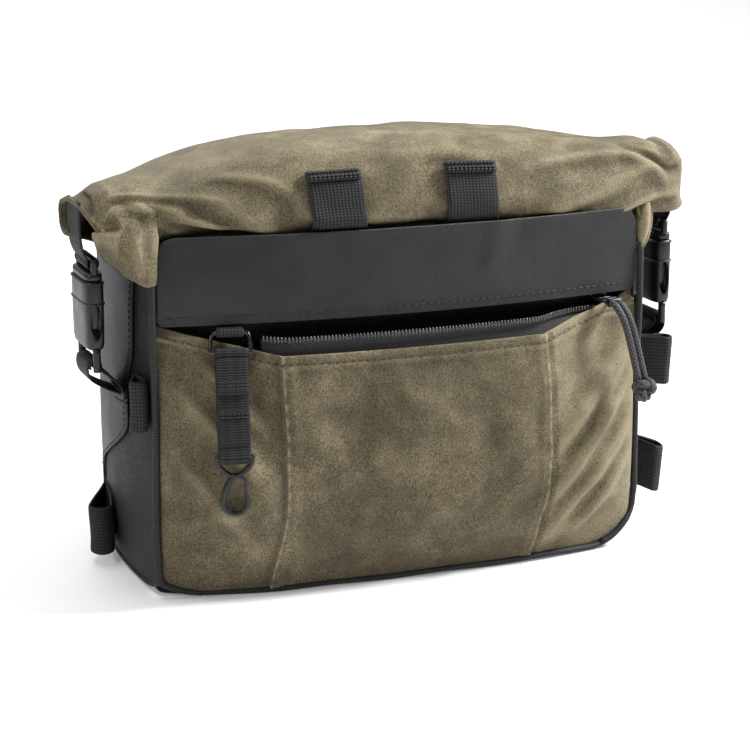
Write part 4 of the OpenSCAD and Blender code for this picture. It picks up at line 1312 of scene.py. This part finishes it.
def buckle(sign, side):
    """A side-release buckle: socket, frame, plug, tongue and two spring arms."""
    bx, by = BUCKLE_X, BUCKLE_Y
    strap = f"{side}_strap"
    # socket: a moulded sleeve, waisted, with an oval window on each narrow side
    profile = [(118, 3.4, 14.6), (118.6, 4.3, 15.3), (121, 4.8, 15.8), (127, 4.9, 16), (138, 5, 16),
               (145, 5, 16),
               (148.6, 5, 16), (149.6, 4.8, 15.8), (150, 4.4, 15.4)]
    verts, faces = closed_rings(flipped([rounded_ring(bx, by, z, a, b) for z, a, b in profile], sign))
    socket = piece(f"buckle_socket_{side}_moulded", verts, faces, PLASTIC, None,
                   [f"{side}_buckle_socket"])
    fix_normals(socket)
    cavity = [rounded_ring(bx, by, z, 3.1, 14.3) for z in (121, 135, 152)]
    cut(socket, loose(*closed_rings(flipped(cavity, sign))))
    oval = []
    for y in (by - 20, by + 20):
        oval.append([Vector((bx + 2.6 * math.cos(2 * math.pi * k / 24), y,
                             131 + 8.4 * math.sin(2 * math.pi * k / 24)))
                     for k in range(24)])
    cut(socket, loose(*closed_rings(flipped(oval, sign))))
    for polygon in socket.data.polygons:
        polygon.use_smooth = True
    bevel = socket.modifiers.new("edges", "BEVEL")
    bevel.width = 0.35 * MM
    bevel.segments = 2
    bevel.limit_method = "ANGLE"
    bevel.angle_limit = math.radians(38)
    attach(socket, "bag")
    # the ends that carry the strap bar, and raised rims round the sleeve
    parts = []
    for s in (-1, 1):
        parts.append(tube_data([Vector((sign * bx, by + s * 14.3, z)) for z in steps(107.6, 118.4, 6)], 1.9,
                               12))
    parts.append(tube_data([Vector((sign * bx, y, SOCKET_BAR_Z)) for y in steps(by - 14.6, by + 14.6, 6)],
                           1.55, 14))
    for z in (139.6, 149.2):
        rim = rounded_ring(bx, by, z, 5.15, 16.15, count=40)
        parts.append(tube_data(flipped([rim], sign)[0], 0.45, 8, closed=True))
    verts, faces, uvs = joined(parts)
    fix_normals(piece(f"buckle_frame_{side}_moulded", verts, faces, PLASTIC, "bag", (),
                      uvs))
    # plug with its tongue and strap bar
    profile = [(150.5, 4.0, 15.0), (150.8, 4.5, 15.5), (152.4, 4.5, 15.5), (153.6, 4.3, 15.2),
               (153.9, 3.6, 14.6)]
    ring_loft(f"buckle_plug_{side}_moulded",
              flipped([rounded_ring(bx, by, z, a, b) for z, a, b in profile], sign),
              PLASTIC, strap, [f"{side}_buckle_plug"], 0)
    tongue = [(128, 1.0, 1.6), (128.8, 1.9, 2.3), (140, 2.2, 2.5), (150.9, 2.2, 2.5)]
    ring_loft(f"buckle_tongue_{side}_moulded",
              flipped([rounded_ring(bx, by, z, a, b) for z, a, b in tongue], sign),
              PLASTIC, strap, (), 0)
    parts = []
    for s in (-1, 1):
        parts.append(tube_data([Vector((sign * bx, by + s * 14.2, z)) for z in steps(153.4, 160, 5)], 1.7,
                               12))
    parts.append(tube_data([Vector((sign * bx, y, PLUG_BAR_Z)) for y in steps(by - 14.4, by + 14.4, 6)],
                           1.5, 14))
    verts, faces, uvs = joined(parts)
    fix_normals(piece(f"buckle_bar_{side}_moulded", verts, faces, PLASTIC, strap, (), uvs))
    for which, y in (("front", -31.7), ("rear", -8.3)):
        out = -1 if which == "front" else 1
        arm = [(127, 1.0, 0.8, 0.0), (127.8, 1.9, 1.3, 0.1), (134, 2.2, 1.5, 0.15), (141, 2.2, 1.4, 0.0),
               (150.3, 2.1, 1.3, -0.1)]
        rings = [rounded_ring(bx, y + out * push, z, a, b) for z, a, b, push in arm]
        ring_loft(f"buckle_arm_{side}_{which}_moulded", flipped(rings, sign), PLASTIC,
                  f"{side}_{which}_button",
                  [f"{side}_{which}_arm"], 1)


def straps(sign, side):
    """Webbing from the roll's end to the plug, and from the socket down to the side patch."""
    bx, by = BUCKLE_X, BUCKLE_Y
    strap = f"{side}_strap"

    def lay(points):
        return [Vector((sign * p[0], by, p[1])) for p in points]

    across = Vector((0, 1, 0))
    top = [(151.2, 187), (151.4, 178), (151.2, 170), (150.4, 164.5), (149, 161)]
    top += arc_points(bx, PLUG_BAR_Z, EYE_R, 40, -250, 14)
    ribbon(f"roll_strap_{side}_webbing", curve_through(lay(top), 44), STRAP_W - 0.4, 1.4, across,
           LEASH_TAPE, strap,
           [f"{side}_roll_strap"])
    low = [(132.4, 92), (132.9, 95.6), (134.2, 98.6), (137, 102), (141, 105.6)]
    low += arc_points(bx, SOCKET_BAR_Z, EYE_R, -140, -400, 12)
    ribbon(f"socket_strap_{side}_webbing", curve_through(lay(low), 48), STRAP_W - 0.4, 1.4, across, WEBBING,
           "bag",
           [f"{side}_socket_strap"])
    tail = [(bx + 2.9, 112), (bx + 3.6, 108), (bx + 2.2, 103.4), (bx - 3, 99.6), (bx - 8, 97),
            (bx - 12.2, 95.2)]
    ribbon(f"socket_tail_{side}_webbing", curve_through(lay(tail), 26), STRAP_W - 1.6, 1.2, across,
           LEASH_TAPE, "bag")
    lines = []
    for z in (88.6, 91.2):
        lines.append(([Vector((sign * (gusset_x(sign, y, z) + 1.9), y, z))
                       for y in steps(by - 8, by + 11, 10)],
                      Vector((sign, 0, 0))))
    stitches(f"socket_strap_{side}_tacks", lines, THREAD, "bag", "webbing", length=1.5, gap=0.4, radius=0.36)


for sign, side in SIDES:
    buckle(sign, side)
    straps(sign, side)


# ---- rolled top ----
ROLL_FOLDS = [
    # (x where it starts, share of the way round there, x where it ends, share there, height, width)
    (-142, 0.36, -62, 0.58, 2.2, 0.026), (-136, 0.42, -84, 0.60, 1.7, 0.022),
    (-104, 0.36, -34, 0.56, 1.8, 0.026),
    (-146, 0.44, -112, 0.60, -3.0, 0.034), (-120, 0.50, -60, 0.60, 2.2, 0.022),
    (-60, 0.54, 34, 0.60, 1.8, 0.024),
    (52, 0.46, 132, 0.38, 2.8, 0.026), (64, 0.56, 148, 0.46, 2.4, 0.022), (96, 0.62, 152, 0.52, 2.6, 0.020),
    (-20, 0.38, 60, 0.42, 1.4, 0.030), (118, 0.34, 156, 0.50, -3.2, 0.026), (40, 0.60, 120, 0.58, 1.6, 0.020),
]


def roll_front(x):
    return -63.6 + 19.0 * (x / ROLL_HALF) ** 2


def roll_back(x):
    return 40 - 42 * smooth((abs(x) - 100) / 41)


def roll_pt(x, a, grow=0.0):
    """A point of the roll: a is the angle round it from the back, over the top, to the front and under."""
    ridge = ROLL_H - 16 * (x / ROLL_HALF) ** 2 + 0.8 * math.sin(x / 21)
    ridge -= 3 * smooth((-x - 95) / 30) + 5 * smooth((-x - 140) / 14) + 6.5 * hump(x + 103, 24)
    ridge += 2.5 * smooth((x - 118) / 16) - 2.6 * hump(x - 143, 4) + 1.5 * hump(x - 151, 4)
    under = ROLL_UNDER + 2.5 * smooth((-x - 40) / 60) + 0.9 * math.sin(x / 24 + 0.6) + 0.7 * math.sin(x / 9)
    ry, rz = (roll_back(x) - roll_front(x)) / 2, (ridge - under) / 2
    c, s = math.cos(a), math.sin(a)
    y0 = math.copysign(abs(c) ** 0.6, c) * (ry + grow)
    z0 = math.copysign(abs(s) ** 0.7, s) * (rz + grow)
    lean = max(0.0, -c) * 9 * (z0 + rz) / (2 * rz)
    return Vector((x, (roll_back(x) + roll_front(x)) / 2 + y0 + lean, (ridge + under) / 2 + z0))


def roll_swell(x, share):
    """How far the canvas stands out from the plain roll: folds, puckers and slack."""
    wrap = 38 * math.sin(2 * math.pi * share), 38 * math.cos(2 * math.pi * share)
    out = 1.7 * rough(x, wrap[0], wrap[1], 34, 11) + 0.8 * rough(x, wrap[0], wrap[1], 13, 12)
    for x0, s0, x1, s1, height, width in ROLL_FOLDS:
        t = (x - x0) / (x1 - x0)
        if 0 < t < 1:
            d = share - mix(s0, s1, t) - 0.012 * math.sin(5 * t + x0)
            out += height * math.sin(math.pi * t) ** 0.8 * (hump(d, width) - 0.5 * hump(d - 2 * width,
                                                                                        1.5 * width))
    return out


def roll_skin(x, share, grow=0.0):
    """The outer canvas, open and cut back at the left end, gathered and round at the right."""
    a = 2 * math.pi * share
    p = roll_pt(x, a, roll_swell(x, share) + grow)
    if x < -118:
        near = smooth((-118 - x) / 39)
        lower = smooth((192 - p.z) / 24)
        p.x += near * (4 + 10 * lower * smooth((-6 - p.y) / 24))
    if x > 147:
        t = (x - 147) / (ROLL_HALF - 147)
        keep = math.sqrt(max(0.0, 1 - (0.8 * t) ** 2))
        p.y = mix(-25, p.y, keep)
        p.z = mix(181, p.z, keep)
    if x > 132:
        near = (x - 132) / 25
        p.x += near * (1.8 * math.sin(3 * a + 0.5) + 0.6 * math.sin(5 * a))
        p.z += near * 1.1 * math.sin(3 * a + x / 5)
    return strap_room(p)


def strap_room(p):
    """Keeps the gathered end inside the right strap's swing, behind the roll's front."""
    p.x = min(p.x, mix(165, 148.4, smooth((p.y + 38.5) / 5) * smooth((204 - p.z) / 4)))
    return p


def rolled_top():
    """The roll: its canvas, inner layers, stiffener, turned hem and dog-ear."""
    count = 120
    xs = [ROLL_HALF * math.sin(math.pi / 2 * t) * 0.35 + ROLL_HALF * t * 0.65 for t in steps(-1, 1, 110)]
    rows = [[roll_skin(x, k / count) for k in range(count)] for x in xs]
    verts, faces, uvs = grid_data(rows, loop=True)
    faces = [tuple(reversed(f)) for f in faces]
    last = (len(rows) - 1) * count
    # the gathered end closes in rings towards its middle
    middle = sum((verts[last + k] for k in range(count)), Vector()) / count
    for share in (0.82, 0.6, 0.36, 0.12):
        base = len(verts)
        for k in range(count):
            p = verts[last + k].lerp(middle, 1 - share)
            p.x += 2.4 * math.sqrt(1 - share ** 2) + 5 * rough(p.y, p.z, 0, 11, 15) * share * (1 - share)
            strap_room(p)
            verts.append(p)
            uvs.append((uvs[last + k][0] + (1 - share) * 0.02, uvs[last + k][1]))
        start = last if share == 0.82 else base - count
        for k in range(count):
            faces.append((start + k, base + k, base + (k + 1) % count, start + (k + 1) % count))
    faces.append(tuple(len(verts) - count + k for k in range(count)))
    canvas = piece("roll_top_canvas", verts, faces, CANVAS, "roll_top", ["roll_canvas"], uvs)
    fix_normals(canvas)
    ridge_attribute(canvas.data)
    # painted light: the whole roll's canvas is made paler, as it is the top of the bag and faces the lights
    add_wear_and_light(canvas, lambda p: 0.14)
    subdivide(thicken(canvas, 1.3, -1.0), 1)

    # inner layers of the roll, seen in the open left end
    rows = []
    for t in steps(0, 1, 96):
        a = math.radians(200 - 640 * t)
        shrink = mix(0.86, 0.22, t)
        row = []
        for x in steps(-147, -96, 14):
            p = roll_pt(x, a % (2 * math.pi))
            mid = Vector((x, (roll_back(x) + roll_front(x)) / 2, 187))
            row.append(mid + (p - mid) * shrink + Vector((x - p.x + 5 * t, 0, 0)))
        rows.append(row)
    cloth("roll_inner_layers", rows, 1.2, CANVAS, "roll_top", side=0.0)
    rows = grid(steps(-149, 149, 40), steps(-1, 1, 6),
                lambda x, t: Vector((x, BUCKLE_Y + t * 12.3, 184 + 0.3 * math.sin(x / 20))))
    cloth("roll_stiffener_strip", rows, 1.6, PLASTIC, "roll_top", ["roll_stiffener"], side=0.0)

    # turned hem along the open end
    hem = [verts[k] + Vector((-0.2, 0, 0)) for k in range(count)]
    tube("roll_end_hem", hem, 1.25, CANVAS, "roll_top", "waxed_canvas", sides=8, closed=True)

    # dog-ear of gathered canvas beside the flap
    rows = []
    for t in steps(0, 1, 22):
        z = mix(173, 150.5, t)
        width = 10.5 * math.sin(math.pi * min(1.0, 0.30 + 0.62 * t)) ** 0.8
        row = []
        for u in steps(-1, 1, 12):
            pleat = 1.5 * math.cos(u * 4.2 + 2 * t) * (1 - 0.4 * t)
            row.append(Vector((128.6 + u * width * 0.5 - 2.0 * t,
                               -47.0 - 3.2 * (1 - u * u) * math.sin(math.pi * t)
                               - pleat + 2.0 * u, z - 1.2 * u * t)))
        rows.append(row)
    cloth("roll_dog_ear_canvas", rows, 2.2, CANVAS, "roll_top", side=0.0, wear_and_painted_light=True)


def corner_drape():
    """Canvas that hangs from the roll's open end down over the bag's left front corner."""
    ends = [  # from the flap's edge to the open end: where it leaves the roll, then its middle and lower edge
        (-119.5, (-121.8, -53.4, 166), (-122.8, -52.6, 150.4)),
        (-123, (-125, -55.4, 165), (-125.8, -54.6, 149.8)),
        (-128, (-129.6, -55.4, 165), (-130, -52.4, 151.2)),
        (-134, (-134.4, -51, 167), (-134.6, -46.6, 154.4)),
        (-143, (-139.6, -48.6, 169), (-138.6, -42.6, 158)),
        (-150, (-144.2, -44.4, 172), (-141.8, -38.6, 161.6)),
        (-156.8, (-148.2, -38.6, 174), (-144.6, -35.4, 164.2)),
    ]
    ribs = []
    for k, (x, middle, low) in enumerate(ends):
        sink = (1.4, 0.7, 0, 0, 0, 0, 0)[k]
        ribs.append([roll_skin(x, 0.42, -1.8 - sink), roll_skin(x, 0.47, 0.3 - sink),
                     roll_skin(x, 0.52, 1.3 - sink), middle, low])
    columns = [curve_through(rib, 26) for rib in ribs]
    rows = []
    for j in range(27):
        row = curve_through([column[j] for column in columns], 40)
        t = j / 26
        rows.append([p + Vector((0.5, -1,
                                 0)) * (0.9 * math.sin(k / 40 * 19 + 2.4 * t) * smooth((t - 0.25) / 0.3)
                                                 + 0.7 * rough(p.x, p.z, 0, 8, 3))
                     for k, p in enumerate(row)])
    obj = cloth("roll_corner_canvas", rows, 1.4, CANVAS, "roll_top", side=0.0, wear_and_painted_light=True)
    # paler along the drape's lower edge and towards its far left end
    add_wear_and_light(obj, lambda p: 0.6 * smooth((154 - p.z) / 5) + 0.7 * smooth((-143 - p.x) / 5))


def roll_shoulders():
    """Canvas folded in at each end of the mouth, between the side collar and the back of the roll."""
    for sign, side in SIDES:
        rows = []
        for t in steps(0, 1, 22):
            y = mix(-14, 46.5, t)
            row = []
            for u in steps(0, 1, 16):
                x = mix(122.6, 84, u)
                z = mix(170.6, 191, smooth(u * 0.9)) - 2.6 * math.sin(math.pi * u) * (1 - 0.4 * t)
                z += 1.2 * rough(x, y, sign * 9, 14, 6) * smooth(u / 0.2) - 3 * smooth((y - 38) / 9) * (1 - u)
                row.append(Vector((sign * x, y, z)))
            rows.append(row)
        cloth(f"roll_shoulder_{side}_canvas", rows, 1.3, CANVAS, "roll_top", side=0.0,
              wear_and_painted_light=True)


def daisy_loops():
    """Webbing across the front of the roll, folded at its top and running under the roll."""
    for side, x in WEBBING_AT:
        lean = 2.6 if x < 0 else 1.6
        rows = []
        first = 156 if x < 0 else 159
        turns = [math.radians(a) for a in steps(first, 218, 26)]
        for a in turns:
            share = a / (2 * math.pi)
            lift = 1.7 + 0.5 * math.sin((a - turns[0]) / (turns[-1] - turns[0]) * math.pi)
            shift = lean * (a - turns[0]) / (turns[-1] - turns[0])
            rows.append([roll_pt(x + shift + u, a,
                                 roll_swell(x + shift + u, share) * 0.5 + roll_swell(x, share) * 0.5
                                 + lift) for u in steps(-STRAP_W / 2 - 0.8, STRAP_W / 2 + 0.8, 8)])
        cloth(f"daisy_loop_{side}_webbing", rows, 1.3, WEBBING, "roll_top", [f"{side}_daisy_loop"],
              side=0.0)
        fold_rows = []
        for i in range(6):
            fold_rows.append([p + (p - Vector((p.x, -10, 185))).normalized() * 1.3 for p in rows[i]])
        cloth(f"daisy_fold_{side}_webbing", fold_rows, 1.1, WEBBING, "roll_top", side=0.0)
        lines = []
        for i in (1, 3, 4):
            lines.append(([p + (p - Vector((p.x, -10, 185))).normalized() * 1.0 for p in fold_rows[i]],
                          Vector((0, -0.8, 0.6))))
        stitches(f"daisy_tacks_{side}", lines, THREAD, "roll_top", "webbing", length=1.6, gap=0.5, radius=0.4)


rolled_top()
corner_drape()
roll_shoulders()
daisy_loops()
